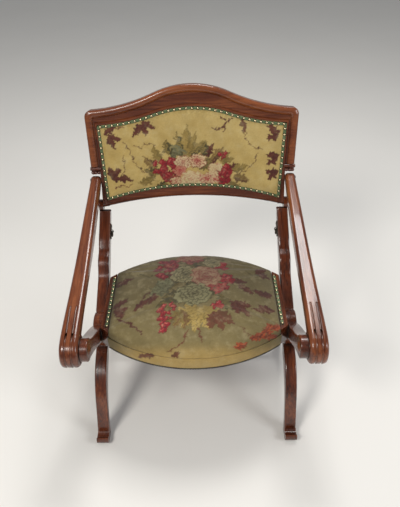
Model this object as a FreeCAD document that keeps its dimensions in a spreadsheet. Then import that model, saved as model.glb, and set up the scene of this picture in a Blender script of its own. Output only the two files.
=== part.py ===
import FreeCAD
import Part
import Sketcher
import math
import os

# A folding armchair: two crossed legs at each side, a padded back frame hinged to the
# rear upper ends of the front legs, and two sloping arms that tie the back to the rear legs.
# X runs to the right-hand side as the chair is seen from the front, Y points to the back,
# Z is up. Side outlines are drawn in Y and Z.

os.makedirs("parts", exist_ok=True)
doc = FreeCAD.newDocument("folding_armchair")
sheet = doc.addObject("Spreadsheet::Sheet", "sizes")
sheet.Label = "sizes"

SIZES = [
    # legs
    ("leg_centre", 280.0, "distance of each pair of legs from the middle of the chair"),
    ("leg_thickness", 34.0, "thickness of a leg, left to right"),
    ("leg_round", 4.0, "rounding of the long edges of the legs"),
    ("pivot_forward", 30.0, "leg crossing ahead of the datum"),
    ("pivot_height", 275.0, "leg crossing above the floor"),
    ("swing_gap", 1.5, "clearance round the swinging foot of the back"),
    ("lap_radius", 52.0, "round half-lap at the crossing"),
    ("running_gap", 0.3, "clearance between wooden faces that move"),
    ("front_reach", 194.0, "front foot ahead of the crossing"),
    ("rear_reach", 225.0, "rear foot behind the crossing"),
    ("back_reach", 309.0, "back hinge behind the crossing"),
    ("back_rise", 243.0, "back hinge above the crossing"),
    ("arm_reach", 230.0, "arm scroll ahead of the crossing"),
    ("arm_rise", 155.0, "arm scroll above the crossing"),
    ("hinge_boss_radius", 18.0, "rounded upper end of a front leg"),
    ("head_radius", 30.0, "rounded upper end of a rear leg"),
    ("head_thickness", 20.0, "rear leg where it lies inside the arm scroll"),
    ("head_lap_radius", 56.0, "reach of the thinned head about the scroll centre"),
    # pins and bolts
    ("bolt_radius", 6.0, "pivot bolt at the crossing"),
    ("pin_radius", 4.0, "pins of the back and arm hinges"),
    ("bore_gap", 0.05, "running clearance round pins and bolts"),
    ("cap_radius", 15.0, "turned cap over a pivot bolt"),
    ("cap_height", 4.0, "height of a turned cap"),
    ("pin_head_radius", 7.0, "head of a hinge pin"),
    ("pin_head_height", 2.5, "height of a pin head"),
    # rails between the sides
    ("tie_depth", 60.0, "tie rail under the seat, front to back"),
    ("tie_height", 22.0, "tie rail height"),
    ("tie_behind", 35.0, "middle of the tie rail behind the crossing"),
    ("stretcher_radius", 14.0, "round stretcher between the rear legs"),
    ("stretcher_swell", 18.0, "stretcher at its middle"),
    ("stretcher_height", 105.0, "stretcher above the floor"),
    ("rest_rod_radius", 9.0, "rod that carries the front of the seat"),
    ("rest_rod_ahead", 67.0, "rod ahead of the crossing"),
    # seat
    ("seat_bottom", 314.0, "underside of the seat frame"),
    ("seat_rail_top", 372.0, "top of the seat side rails"),
    ("seat_side_gap", 5.0, "space between the seat side rails and the legs"),
    ("seat_side_rail", 20.0, "width of a seat side rail"),
    ("seat_front_reach", 226.0, "front of the seat ahead of the datum"),
    ("seat_back_reach", 196.0, "back of the seat behind the datum"),
    ("seat_front_bow", 102.0, "rise of the front bow"),
    ("seat_back_bow", 102.0, "rise of the back bow"),
    ("seat_rail_width", 45.0, "width of the bowed seat rails"),
    ("seat_rail_height", 30.0, "height of the bowed seat rails"),
    ("spacer_radius", 14.0, "washer between seat rail and front leg"),
    ("seat_crown", 36.0, "rise of the seat cushion over its side rails"),
    ("strap_width", 50.0, "seat webbing"),
    ("strap_thickness", 2.0, "webbing thickness"),
    ("soft_gap", 0.3, "clearance of padding from wood"),
    ("cover_thickness", 2.5, "cover wrapped round the bowed seat rails"),
    # back
    ("back_lean", 15.1, "lean of the back, degrees"),
    ("back_corner_forward", 263.0, "lower front edge of the back behind the datum"),
    ("back_corner_height", 517.0, "lower front edge of the back above the floor"),
    ("back_thickness", 34.0, "thickness of the back frame"),
    ("stile_gap", 0.8, "space between the foot of a stile and the arm beside it"),
    ("collar_overhang", 27.3, "reach of the stile ends beyond the foot of the stiles"),
    ("crest_flare", 8.0, "reach of the crest beyond the stile ends"),
    ("collar_height", 108.0, "stile end above the lower edge, along the back"),
    ("crest_corner_height", 300.0, "crest corner along the back"),
    ("crest_middle_height", 371.0, "crest middle along the back"),
    ("crest_corner_radius", 20.0, "rounded crest corner"),
    ("crest_border", 35.0, "width of the frame beside the top of the opening"),
    ("foot_border", 13.7, "width of the frame beside the foot of the opening"),
    ("opening_top_corner", 257.0, "upper corner of the opening along the back"),
    ("opening_top_middle", 308.0, "top of the opening at its middle"),
    ("opening_foot_corner", 24.0, "lower corner of the opening"),
    ("opening_foot_middle", 66.0, "foot of the opening at its middle"),
    ("lower_edge_rise", 34.0, "rise of the lower edge at its middle"),
    ("outer_bead", 15.0, "outer moulding of crest and stiles"),
    ("outer_bead_round", 5.5, "rounding of the outer moulding"),
    ("inner_bead", 8.0, "bead beside the opening"),
    ("inner_bead_round", 3.0, "slope of the inner bead"),
    ("inner_bead_rise", 5.0, "rise of the inner bead over the band"),
    ("band_depth", 6.0, "band between the mouldings, behind the front face"),
    ("lower_rail_round", 11.0, "rounded lower front edge of the lower rail"),
    ("stile_joint", 215.0, "joint between stile and crest along the back"),
    ("back_crown", 13.0, "rise of the back cushion"),
    ("gimp_width", 10.0, "width of the gimp braid"),
    ("gimp_thickness", 1.5, "thickness of the gimp braid"),
    ("nail_radius", 4.6, "domed nail head"),
    ("nail_height", 2.8, "height of a nail head"),
    ("nail_pitch", 17.5, "spacing of the nails"),
    ("back_strap_width", 52.0, "webbing of the back"),
    ("outer_cloth_thickness", 1.5, "cloth behind the back"),
    # arms
    ("arm_hinge_up", 87.0, "arm hinge along the back"),
    ("arm_hinge_in", 6.0, "arm hinge behind the front face of the back"),
    ("arm_rear_width", 31.0, "arm width at its hinge"),
    ("arm_front_width", 47.0, "arm width at its scroll"),
    ("arm_end_radius", 14.0, "rounded rear end of an arm"),
    ("scroll_radius", 44.0, "front scroll of an arm"),
    ("scroll_eye", 12.0, "eye of the scroll"),
    ("scroll_groove", 30.0, "radius of the groove round the scroll face"),
    ("arm_round", 10.0, "rounded upper edges of an arm"),
    ("flute_radius", 3.2, "flutes over the front of an arm"),
    ("flute_length", 105.0, "length of the flutes behind the scroll"),
    ("collar_bead", 5.5, "beads at the stile end"),
    # catches
    ("plate_length", 46.0, "catch plate"),
    ("plate_width", 18.0, "catch plate width"),
    ("plate_thickness", 2.5, "catch plate thickness"),
    ("ring_radius", 8.0, "catch ring, to the middle of its wire"),
    ("ring_wire", 1.6, "wire of the catch ring"),
    ("staple_radius", 6.0, "staple, to the middle of its wire"),
    ("staple_wire", 1.3, "wire of the staple"),
    ("screw_radius", 3.6, "screw head"),
]

row = 0
for alias, value, note in SIZES:
    row += 1
    sheet.set("A%d" % row, note)
    sheet.set("B%d" % row, str(value))
    sheet.setAlias("B%d" % row, alias)
MID_DEPTH_CELL = "B%d" % (row + 1)
sheet.set(MID_DEPTH_CELL, "0")
sheet.setAlias(MID_DEPTH_CELL, "mid_depth")
doc.recompute()


def size(alias):
    return float(getattr(sheet, alias))


leg_centre = size("leg_centre")
leg_thickness = size("leg_thickness")
half_leg = leg_thickness / 2
running_gap = size("running_gap")
lap_radius = size("lap_radius")
pivot_y = -size("pivot_forward")
pivot_z = size("pivot_height")
leg_inner = leg_centre - half_leg
leg_outer = leg_centre + half_leg
lean = math.radians(size("back_lean"))
overrun = leg_thickness
bore_gap = size("bore_gap")
RIGHT_SIDE = 1
LEFT_SIDE = -1
SIDES = ((LEFT_SIDE, "left"), (RIGHT_SIDE, "right"))
X_AXIS = FreeCAD.Vector(1, 0, 0)
Y_AXIS = FreeCAD.Vector(0, 1, 0)
Z_AXIS = FreeCAD.Vector(0, 0, 1)
ORIGIN = FreeCAD.Vector(0, 0, 0)
pieces = []


def side_point(y, z):
    return FreeCAD.Vector(0, y, z)


def keep(name, shape):
    piece = doc.addObject("Part::Feature", name)
    piece.Label = name
    piece.Shape = shape
    pieces.append(piece)
    return piece


def mirrored(shape):
    return shape.mirror(ORIGIN, X_AXIS)


def for_side(shape, side):
    if side == LEFT_SIDE:
        return mirrored(shape)
    return shape


def curve(points):
    spline = Part.BSplineCurve()
    spline.interpolate(points)
    return spline.toShape()


def line(start, end):
    return Part.LineSegment(start, end).toShape()


def arc(start, middle, end):
    return Part.Arc(start, middle, end).toShape()


def slab(edges, start_x, end_x):
    # A side outline drawn at X zero, given its thickness between two X values.
    face = Part.Face(Part.Wire(Part.__sortEdges__(edges)))
    face.translate(FreeCAD.Vector(start_x, 0, 0))
    return face.extrude(FreeCAD.Vector(end_x - start_x, 0, 0))


def rod(start_x, end_x, y, z, radius):
    return Part.makeCylinder(radius, end_x - start_x, FreeCAD.Vector(start_x, y, z), X_AXIS)


def domed_cap(face_x, y, z, radius, height, direction):
    # A shallow turned cap: part of a ball, flat on the wood and rising away from it.
    ball_radius = (radius ** 2 + height ** 2) / (2 * height)
    centre = FreeCAD.Vector(face_x - direction * (ball_radius - height), y, z)
    ball = Part.makeSphere(ball_radius, centre)
    start = face_x if direction > 0 else face_x - height
    return ball.common(rod(start, start + height, y, z, radius))


# Side places of the pivots, from which every outline is drawn
hinge_y = pivot_y + size("back_reach")
hinge_z = pivot_z + size("back_rise")
scroll_y = pivot_y - size("arm_reach")
scroll_z = pivot_z + size("arm_rise")
corner_y = size("back_corner_forward")
corner_z = size("back_corner_height")
up_y = math.sin(lean)
up_z = math.cos(lean)
arm_hinge_y = corner_y + size("arm_hinge_up") * up_y + size("arm_hinge_in") * up_z
arm_hinge_z = corner_z + size("arm_hinge_up") * up_z - size("arm_hinge_in") * up_y

# Widths, each worked out from the legs outwards or inwards
arm_inner = leg_inner + size("head_thickness") + size("swing_gap")
back_foot_half = arm_inner - size("stile_gap")
back_collar_half = back_foot_half + size("collar_overhang")
back_top_half = back_collar_half + size("crest_flare")
opening_top_half = back_top_half - size("crest_border")
opening_foot_half = back_foot_half - size("foot_border")
foot_joint_half = opening_foot_half - size("inner_bead")
seat_half = leg_inner - size("seat_side_gap")


# Lower leg: shares of its reach and of the crossing height, from the crossing to the foot.
# The same outline serves the front leg and, turned about, the rear leg.
SHIN_OUTER_SHARES = ((0.10, 0.860), (0.325, 0.800), (0.50, 0.727), (0.655, 0.600),
                     (0.755, 0.462), (0.85, 0.273), (0.925, 0.135), (0.955, 0.0))
SHIN_INNER_SHARES = ((0.83, 0.0), (0.795, 0.13), (0.70, 0.31), (0.565, 0.475),
                     (0.36, 0.62), (0.10, 0.74), (0.0, 0.81))
TOE_START_SHARES = (0.90, 0.16)
TOE_HOLLOW_SHARES = (0.975, 0.083)
TOE_TIP_SHARES = (1.075, 0.112)
TOE_NOSE_SHARES = (1.09, 0.042)
TOE_FLOOR_SHARES = (1.01, 0.0)
TOE_HEEL_SHARES = (0.86, 0.0)


def shin_place(shares, reach, direction):
    return side_point(pivot_y + direction * shares[0] * reach, shares[1] * pivot_z)


def shin_edges(reach, direction):
    outer = [shin_place(shares, reach, direction) for shares in SHIN_OUTER_SHARES]
    inner = [shin_place(shares, reach, direction) for shares in SHIN_INNER_SHARES]
    return [curve(outer), line(outer[-1], inner[0]), curve(inner), line(inner[-1], outer[0])]


def toe_edges(reach, direction):
    # The upturned toe that the shin stands on.
    start, hollow, tip, nose, floor, heel = [
        shin_place(shares, reach, direction) for shares in (
            TOE_START_SHARES, TOE_HOLLOW_SHARES, TOE_TIP_SHARES, TOE_NOSE_SHARES,
            TOE_FLOOR_SHARES, TOE_HEEL_SHARES)]
    return [arc(start, hollow, tip), arc(tip, nose, floor), line(floor, heel),
            line(heel, start)]


# Upper front leg: shares of the reach and rise from the crossing to the back hinge.
# The upper line has two swellings with a waist between them and a small nosing above.
UPPER_TOP_SHARES = ((0.03, 0.105), (0.17, 0.214), (0.278, 0.284), (0.348, 0.332), (0.424, 0.387),
                    (0.505, 0.528), (0.571, 0.585), (0.611, 0.601), (0.687, 0.694),
                    (0.808, 0.812), (0.939, 0.955))
UPPER_FOOT_SHARES = ((0.11, 0.0), (0.192, 0.063), (0.34, 0.141), (0.485, 0.274),
                     (0.631, 0.439), (0.793, 0.617), (0.939, 0.785), (1.02, 0.92))


def upper_front_edges():
    def place(shares):
        return side_point(pivot_y + shares[0] * size("back_reach"),
                          pivot_z + shares[1] * size("back_rise"))
    top = [place(shares) for shares in UPPER_TOP_SHARES]
    foot = [place(shares) for shares in UPPER_FOOT_SHARES]
    return [curve(top), line(top[-1], foot[-1]), curve(foot), line(foot[0], top[0])]


# Upper rear leg: shares of the reach and rise from the crossing to the arm scroll
BRACE_TOP_SHARES = ((0.04, 0.20), (0.174, 0.340), (0.33, 0.505), (0.49, 0.655),
                    (0.70, 0.850), (0.93, 1.13))
BRACE_FOOT_SHARES = ((0.15, 0.0), (0.272, 0.115), (0.42, 0.265), (0.583, 0.430),
                     (0.80, 0.640), (1.06, 0.84))


def upper_rear_edges():
    def place(shares):
        return side_point(pivot_y - shares[0] * size("arm_reach"),
                          pivot_z + shares[1] * size("arm_rise"))
    top = [place(shares) for shares in BRACE_TOP_SHARES]
    foot = [place(shares) for shares in BRACE_FOOT_SHARES]
    return [curve(top), line(top[-1], foot[-1]), curve(foot), line(foot[0], top[0])]


def rounded_leg(blank):
    # The long curved edges, which lie in the two side faces, are softened.
    long_edges = []
    for edge in blank.Edges:
        box = edge.BoundBox
        on_face = abs(abs(box.XMin - leg_centre) - half_leg) < running_gap
        if box.XLength < running_gap and on_face and edge.Length > lap_radius:
            long_edges.append(edge)
    return blank.makeFillet(size("leg_round"), long_edges)


def front_leg():
    lower = rounded_leg(slab(shin_edges(size("front_reach"), LEFT_SIDE), leg_inner, leg_outer))
    toe = slab(toe_edges(size("front_reach"), LEFT_SIDE), leg_inner, leg_outer)
    upper = rounded_leg(slab(upper_front_edges(), leg_inner, leg_outer))
    boss = rounded_leg(rod(leg_inner, leg_outer, pivot_y, pivot_z, lap_radius))
    leg = boss.fuse([lower, toe, upper]).removeSplitter()
    # The outer half is cut away round the crossing for the rear leg's disc.
    pocket = rod(leg_centre - running_gap / 2, leg_outer + overrun, pivot_y, pivot_z,
                 lap_radius + running_gap)
    leg = leg.cut(pocket)
    # The hinge end lies outside the foot of the back frame.
    tongue_inner = back_foot_half + running_gap
    tongue = rod(tongue_inner, leg_outer, hinge_y, hinge_z, size("hinge_boss_radius"))
    # The leg is cut back where the lower corner of the back swings over it.
    rear_corner_y = corner_y + size("back_thickness") * up_z
    rear_corner_z = corner_z - size("back_thickness") * up_y
    clear_radius = size("swing_gap") + max(
        math.hypot(corner_y - hinge_y, corner_z - hinge_z),
        math.hypot(rear_corner_y - hinge_y, rear_corner_z - hinge_z))
    swing = rod(leg_inner - overrun, tongue_inner, hinge_y, hinge_z, clear_radius)
    leg = leg.cut(swing).fuse(tongue)
    bolt_hole = rod(leg_inner - overrun, leg_outer + overrun, pivot_y, pivot_z,
                    size("bolt_radius") + bore_gap)
    pin_hole = rod(leg_inner - overrun, leg_outer + overrun, hinge_y, hinge_z,
                   size("pin_radius") + bore_gap)
    return leg.cut(bolt_hole).cut(pin_hole).removeSplitter()


def rear_leg():
    lower = rounded_leg(slab(shin_edges(size("rear_reach"), RIGHT_SIDE), leg_inner, leg_outer))
    toe = slab(toe_edges(size("rear_reach"), RIGHT_SIDE), leg_inner, leg_outer)
    upper = rounded_leg(slab(upper_rear_edges(), leg_inner, leg_outer))
    boss = rounded_leg(rod(leg_inner, leg_outer, pivot_y, pivot_z, lap_radius))
    head = rounded_leg(rod(leg_inner, leg_outer, scroll_y, scroll_z, size("head_radius")))
    leg = boss.fuse([lower, toe, upper, head]).removeSplitter()
    # The inner half is cut away round the crossing for the front leg's disc.
    pocket = rod(leg_inner - overrun, leg_centre + running_gap / 2, pivot_y, pivot_z,
                 lap_radius + running_gap)
    # The head is thinned where it lies inside the arm scroll and the arm above it.
    thinned = rod(leg_inner + size("head_thickness"), leg_outer + overrun, scroll_y, scroll_z,
                  size("head_lap_radius"))
    bolt_hole = rod(leg_inner - overrun, leg_outer + overrun, pivot_y, pivot_z,
                    size("bolt_radius") + bore_gap)
    return leg.cut(pocket).cut(thinned).cut(bolt_hole).removeSplitter()


# Place of the stretcher as a share of the rear foot's reach
STRETCHER_SHARE = 0.715


def stretcher():
    # A round bar that swells towards its middle, turned about its own axis.
    thin = size("stretcher_radius")
    start = FreeCAD.Vector(-leg_inner, 0, 0)
    end = FreeCAD.Vector(leg_inner, 0, 0)
    outline = [line(start, start + Z_AXIS * thin),
               arc(start + Z_AXIS * thin, Z_AXIS * size("stretcher_swell"), end + Z_AXIS * thin),
               line(end + Z_AXIS * thin, end), line(end, start)]
    bar = Part.Face(Part.Wire(outline)).revolve(ORIGIN, X_AXIS, 360)
    bar.translate(side_point(pivot_y + STRETCHER_SHARE * size("rear_reach"),
                             size("stretcher_height")))
    return bar


def tie_rail():
    # A plain rail between the front legs, under the seat, as a sketch given its height.
    name = "tie_rail"
    length = leg_inner * 2
    width = size("tie_depth")
    body = doc.addObject("PartDesign::Body", name)
    body.Label = name
    sketch = body.newObject("Sketcher::SketchObject", name + "_plan")
    plane = [item for item in body.Origin.OriginFeatures if item.Role == "XY_Plane"][0]
    sketch.AttachmentSupport = [(plane, "")]
    sketch.MapMode = "FlatFace"
    half_length = length / 2
    half_width = width / 2
    corners = [FreeCAD.Vector(-half_length, -half_width, 0),
               FreeCAD.Vector(half_length, -half_width, 0),
               FreeCAD.Vector(half_length, half_width, 0),
               FreeCAD.Vector(-half_length, half_width, 0)]
    for index in range(4):
        sketch.addGeometry(Part.LineSegment(corners[index], corners[(index + 1) % 4]), False)
    for index in range(4):
        sketch.addConstraint(Sketcher.Constraint("Coincident", index, 2, (index + 1) % 4, 1))
    sketch.addConstraint(Sketcher.Constraint("Horizontal", 0))
    sketch.addConstraint(Sketcher.Constraint("Vertical", 1))
    sketch.addConstraint(Sketcher.Constraint("Horizontal", 2))
    sketch.addConstraint(Sketcher.Constraint("Vertical", 3))
    sketch.addConstraint(Sketcher.Constraint("Symmetric", 0, 1, 2, 1, -1, 1))
    long_side = sketch.addConstraint(Sketcher.Constraint("DistanceX", 0, 1, 0, 2, length))
    short_side = sketch.addConstraint(Sketcher.Constraint("DistanceY", 1, 1, 1, 2, width))
    sketch.renameConstraint(long_side, "rail_length")
    sketch.renameConstraint(short_side, "rail_width")
    pad = body.newObject("PartDesign::Pad", name + "_pad")
    pad.Profile = sketch
    pad.Length = size("tie_height")
    sketch.setExpression("Constraints.rail_length",
                         "2 * (sizes.leg_centre - sizes.leg_thickness / 2)")
    sketch.setExpression("Constraints.rail_width", "sizes.tie_depth")
    pad.setExpression("Length", "sizes.tie_height")
    body.setExpression("Placement.Base.y",
                       "sizes.tie_behind - sizes.pivot_forward - sizes.mid_depth")
    body.setExpression("Placement.Base.z", "sizes.seat_bottom - sizes.tie_height")
    pieces.append(body)


def rest_rod():
    # The front of the seat rests on this rod between the rear legs.
    bar = doc.addObject("Part::Cylinder", "seat_rest_rod")
    bar.Label = "seat_rest_rod"
    bar.setExpression("Radius", "sizes.rest_rod_radius")
    bar.setExpression("Height", "2 * (sizes.leg_centre - sizes.leg_thickness / 2)")
    bar.Placement = FreeCAD.Placement(ORIGIN, FreeCAD.Rotation(Y_AXIS, 90))
    bar.setExpression("Placement.Base.x", "sizes.leg_thickness / 2 - sizes.leg_centre")
    bar.setExpression("Placement.Base.y",
                      "-sizes.pivot_forward - sizes.rest_rod_ahead - sizes.mid_depth")
    bar.setExpression("Placement.Base.z",
                      "sizes.seat_bottom - sizes.running_gap - sizes.rest_rod_radius")
    pieces.append(bar)


# Seat outline: bowed front and back, cut straight along both sides. Depth is how far the
# outline lies inside the frame's own, so each ring of the cushion follows the same shape.
def seat_outline(depth, half_width, height):
    front = -size("seat_front_reach") + depth
    back = size("seat_back_reach") - depth
    shrink = half_width / seat_half
    front_side = front + size("seat_front_bow") * shrink ** 2
    back_side = back - size("seat_back_bow") * shrink ** 2
    left_front = FreeCAD.Vector(-half_width, front_side, height)
    right_front = FreeCAD.Vector(half_width, front_side, height)
    left_back = FreeCAD.Vector(-half_width, back_side, height)
    right_back = FreeCAD.Vector(half_width, back_side, height)
    return Part.Wire([arc(left_front, FreeCAD.Vector(0, front, height), right_front),
                      line(right_front, right_back),
                      arc(right_back, FreeCAD.Vector(0, back, height), left_back),
                      line(left_back, left_front)])


def prism(wire, height):
    return Part.Face(wire).extrude(Z_AXIS * height)


seat_bottom = size("seat_bottom")
side_rail = size("seat_side_rail")
rail_inner = seat_half - side_rail
soft_gap = size("soft_gap")
cover = size("cover_thickness")
rail_top = seat_bottom + size("seat_rail_height")
seat_depth = size("seat_front_reach") + size("seat_back_reach")
seat_middle = (size("seat_back_reach") - size("seat_front_reach")) / 2


def between(shape, low_x, high_x, low_y, high_y, low_z, high_z):
    box = Part.makeBox(high_x - low_x, high_y - low_y, high_z - low_z,
                       FreeCAD.Vector(low_x, low_y, low_z))
    return shape.common(box)


def bowed_rails():
    outer = prism(seat_outline(cover, seat_half, seat_bottom), size("seat_rail_height"))
    inner = prism(seat_outline(cover + size("seat_rail_width"), seat_half, seat_bottom),
                  size("seat_rail_height"))
    ring = outer.cut(inner)
    front = between(ring, -rail_inner, rail_inner, -seat_depth, seat_middle,
                    seat_bottom, rail_top)
    back = between(ring, -rail_inner, rail_inner, seat_middle, seat_depth,
                   seat_bottom, rail_top)
    return front, back


def seat_side():
    front_side = -size("seat_front_reach") + size("seat_front_bow")
    back_side = size("seat_back_reach") - size("seat_back_bow")
    height = size("seat_rail_top") - seat_bottom
    block = Part.makeBox(side_rail, back_side - front_side + side_rail * 2, height,
                         FreeCAD.Vector(rail_inner, front_side - side_rail, seat_bottom))
    outline = prism(seat_outline(0, seat_half, seat_bottom), height)
    return block.common(outline)


def seat_cover():
    # The cloth that wraps the bowed rails, from the cushion down to their lower edge.
    height = rail_top + soft_gap + size("strap_thickness") * 2 - seat_bottom
    outer = prism(seat_outline(0, seat_half, seat_bottom), height)
    inner = prism(seat_outline(cover - soft_gap, seat_half, seat_bottom), height)
    ring = outer.cut(inner)
    low = seat_bottom
    high = seat_bottom + height
    edge = rail_inner - soft_gap
    front = between(ring, -edge, edge, -seat_depth, seat_middle, low, high)
    back = between(ring, -edge, edge, seat_middle, seat_depth, low, high)
    return front, back


# Cushion rings: share of the height from its foot to its crown, and how far the ring lies
# inside the seat outline as a share of the half width.
CUSHION_RING_SHARES = ((0.0, 0.0), (0.20, -0.016), (0.42, -0.010), (0.56, 0.035), (0.70, 0.115),
                       (0.84, 0.24), (0.94, 0.41), (1.0, 0.62))


def seat_cushion():
    foot = rail_top + size("strap_thickness") * 2 + soft_gap
    crown = size("seat_rail_top") + size("seat_crown")
    inside = rail_inner - soft_gap
    rings = []
    for height_share, depth_share in CUSHION_RING_SHARES:
        depth = depth_share * seat_half
        half_width = inside - max(depth, 0)
        rings.append(seat_outline(depth, half_width, foot + height_share * (crown - foot)))
    return Part.makeLoft(rings, True, True)


STRAP_PLACE_SHARES = (-0.5, 0.0, 0.5)


def seat_straps():
    # Straps across the seat lie on the rails, and straps from front to back lie on them.
    width = size("strap_width")
    thick = size("strap_thickness")
    inside = prism(seat_outline(size("seat_rail_width") / 2, rail_inner - soft_gap, rail_top),
                   thick * 2)
    straps = []
    for share in STRAP_PLACE_SHARES:
        across = Part.makeBox(rail_inner * 2, width, thick,
                              FreeCAD.Vector(-rail_inner, seat_middle + share * seat_depth / 2
                                             - width / 2, rail_top))
        along = Part.makeBox(width, seat_depth, thick,
                             FreeCAD.Vector(share * rail_inner - width / 2,
                                            seat_middle - seat_depth / 2, rail_top + thick))
        straps.append(across.common(inside))
        straps.append(along.common(inside))
    return straps[0].fuse(straps[1:])


# The back frame is drawn upright, its front face at Y zero and its lower edge at Z zero,
# and is then leaned back and set on its lower front edge.
back_thickness = size("back_thickness")
CREST_JOINT_SHARES = (0.373, 0.67)
CREST_SIDE_SHARES = (0.655, 0.245)
CORNER_ROUND_SHARE = 0.29
OPENING_JOINT_SHARES = (0.391, 0.65)
OPENING_SIDE_SHARES = (0.694, 0.20)
# Carved beads across a stile's end: places as shares of its width, and how far their
# middle stands over the end as a share of their radius
COLLAR_BEAD_SHARES = (0.16, 0.5, 0.84)
COLLAR_DROP_SHARE = 0.9
# Cloth and webbing lap onto the frame behind the opening by this share of its bead
CLOTH_LAP_SHARE = 1.5


def lean_back(shape):
    shape.rotate(ORIGIN, X_AXIS, -size("back_lean"))
    shape.translate(side_point(corner_y, corner_z))
    return shape


def flat_point(x, z, depth=0.0):
    return FreeCAD.Vector(x, depth, z)


def arched_top(half, corner, middle, joint_shares, side_shares, depth):
    # Three arcs from the right-hand end of an arched line to its left-hand end.
    rise = middle - corner
    joint_x = joint_shares[0] * half
    joint_z = corner + joint_shares[1] * rise
    side_x = side_shares[0] * half
    side_z = corner + side_shares[1] * rise
    return [arc(flat_point(half, corner, depth), flat_point(side_x, side_z, depth),
                flat_point(joint_x, joint_z, depth)),
            arc(flat_point(joint_x, joint_z, depth), flat_point(0, middle, depth),
                flat_point(-joint_x, joint_z, depth)),
            arc(flat_point(-joint_x, joint_z, depth), flat_point(-side_x, side_z, depth),
                flat_point(-half, corner, depth))]


def crest_outline(inset):
    half = back_top_half - inset
    collar_half = back_collar_half - inset
    collar = size("collar_height")
    corner = size("crest_corner_height") - inset
    radius = size("crest_corner_radius") - inset
    middle = size("crest_middle_height") - inset
    near = radius * CORNER_ROUND_SHARE
    top = arched_top(half - radius, corner, middle, CREST_JOINT_SHARES, CREST_SIDE_SHARES, 0)
    return Part.Wire([
        line(flat_point(-collar_half, collar), flat_point(collar_half, collar)),
        line(flat_point(collar_half, collar), flat_point(half, corner - radius)),
        arc(flat_point(half, corner - radius), flat_point(half - near, corner - near),
            flat_point(half - radius, corner)),
        top[0], top[1], top[2],
        arc(flat_point(radius - half, corner), flat_point(near - half, corner - near),
            flat_point(-half, corner - radius)),
        line(flat_point(-half, corner - radius), flat_point(-collar_half, collar))])


def opening_outline(outset, depth=0.0):
    top_half = opening_top_half + outset
    foot_half = opening_foot_half + outset
    corner = size("opening_top_corner") + outset
    middle = size("opening_top_middle") + outset
    foot_corner = size("opening_foot_corner") - outset
    foot_middle = size("opening_foot_middle") - outset
    top = arched_top(top_half, corner, middle, OPENING_JOINT_SHARES, OPENING_SIDE_SHARES, depth)
    right_foot = flat_point(foot_half, foot_corner, depth)
    left_foot = flat_point(-foot_half, foot_corner, depth)
    return Part.Wire([
        line(right_foot, flat_point(top_half, corner, depth)),
        top[0], top[1], top[2],
        line(flat_point(-top_half, corner, depth), left_foot),
        arc(left_foot, flat_point(0, foot_middle, depth), right_foot)])


def plate(wire, front, back):
    face = Part.Face(wire)
    face.translate(Y_AXIS * front)
    return face.extrude(Y_AXIS * (back - front))


def front_edges(shape, front, shortest):
    found = []
    for edge in shape.Edges:
        box = edge.BoundBox
        if abs(box.YMin - front) < bore_gap and abs(box.YMax - front) < bore_gap:
            if edge.Length > shortest:
                found.append(edge)
    return found


def back_frame():
    collar = size("collar_height")
    reach = size("crest_middle_height")
    bead = size("outer_bead")
    band_front = size("band_depth")
    bead_front = band_front - size("inner_bead_rise")
    opening = plate(opening_outline(0), -overrun, back_thickness + overrun)
    band = plate(crest_outline(bead), band_front, back_thickness).cut(opening)
    hollow = plate(crest_outline(bead), 0, back_thickness)
    outer = plate(crest_outline(0), 0, back_thickness).cut(hollow)
    gap = Part.makeBox(back_foot_half * 2, back_thickness, bead * 2,
                       FreeCAD.Vector(-back_foot_half, 0, collar - bead))
    outer = outer.cut(gap)
    outer = outer.makeFillet(size("outer_bead_round"), front_edges(outer, 0, bead + bore_gap))
    foot_top = collar + bead
    foot_edges = [
        arc(flat_point(-back_foot_half, 0), flat_point(0, size("lower_edge_rise")),
            flat_point(back_foot_half, 0)),
        line(flat_point(back_foot_half, 0), flat_point(back_foot_half, foot_top)),
        line(flat_point(back_foot_half, foot_top), flat_point(-back_foot_half, foot_top)),
        line(flat_point(-back_foot_half, foot_top), flat_point(-back_foot_half, 0))]
    foot = plate(Part.Wire(foot_edges), 0, back_thickness)
    low_edges = [edge for edge in front_edges(foot, 0, back_foot_half)
                 if edge.BoundBox.ZMax < collar - bead]
    foot = foot.makeFillet(size("lower_rail_round"), low_edges).cut(opening)
    wide = size("inner_bead")
    narrow = wide - size("inner_bead_round")
    inner = Part.makeLoft([opening_outline(wide, back_thickness - band_front),
                           opening_outline(wide, band_front),
                           opening_outline(narrow, bead_front)], True, True).cut(opening)
    frame = band.fuse(outer).fuse(foot).fuse(inner)
    ball = size("collar_bead")
    collar_width = size("collar_overhang")
    for side, word in SIDES:
        for share in COLLAR_BEAD_SHARES:
            bead_x = back_foot_half + share * collar_width
            centre = flat_point(side * bead_x, collar + ball * COLLAR_DROP_SHARE, ball / 2)
            frame = frame.fuse(Part.makeSphere(ball, centre))
        bar = Part.makeCylinder(ball, collar_width + ball,
                                flat_point((back_foot_half - ball / 2) * side, collar + ball * 3,
                                           ball / 2), X_AXIS * side)
        frame = frame.fuse(bar)
    frame = frame.removeSplitter()
    joint = size("stile_joint")
    rail_height = size("opening_foot_middle") + size("inner_bead")
    depth = back_thickness + overrun
    crest = between(frame, -reach, reach, -overrun, depth, joint, reach)
    rail = between(frame, -foot_joint_half, foot_joint_half, -overrun, depth, 0, rail_height)
    stile = between(frame, 0, reach, -overrun, depth, 0, joint).cut(rail)
    return crest, rail, stile


# The back hinge pins stop in the foot of the stiles, the arm pins in their narrow part.
back_pin_start = foot_joint_half + size("pin_radius")
arm_pin_start = opening_foot_half + size("pin_radius")


def back_pin_bores(stile):
    radius = size("pin_radius") + bore_gap
    stile = stile.cut(rod(back_pin_start, leg_outer, hinge_y, hinge_z, radius))
    return stile.cut(rod(arm_pin_start, leg_outer, arm_hinge_y, arm_hinge_z, radius))


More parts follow.
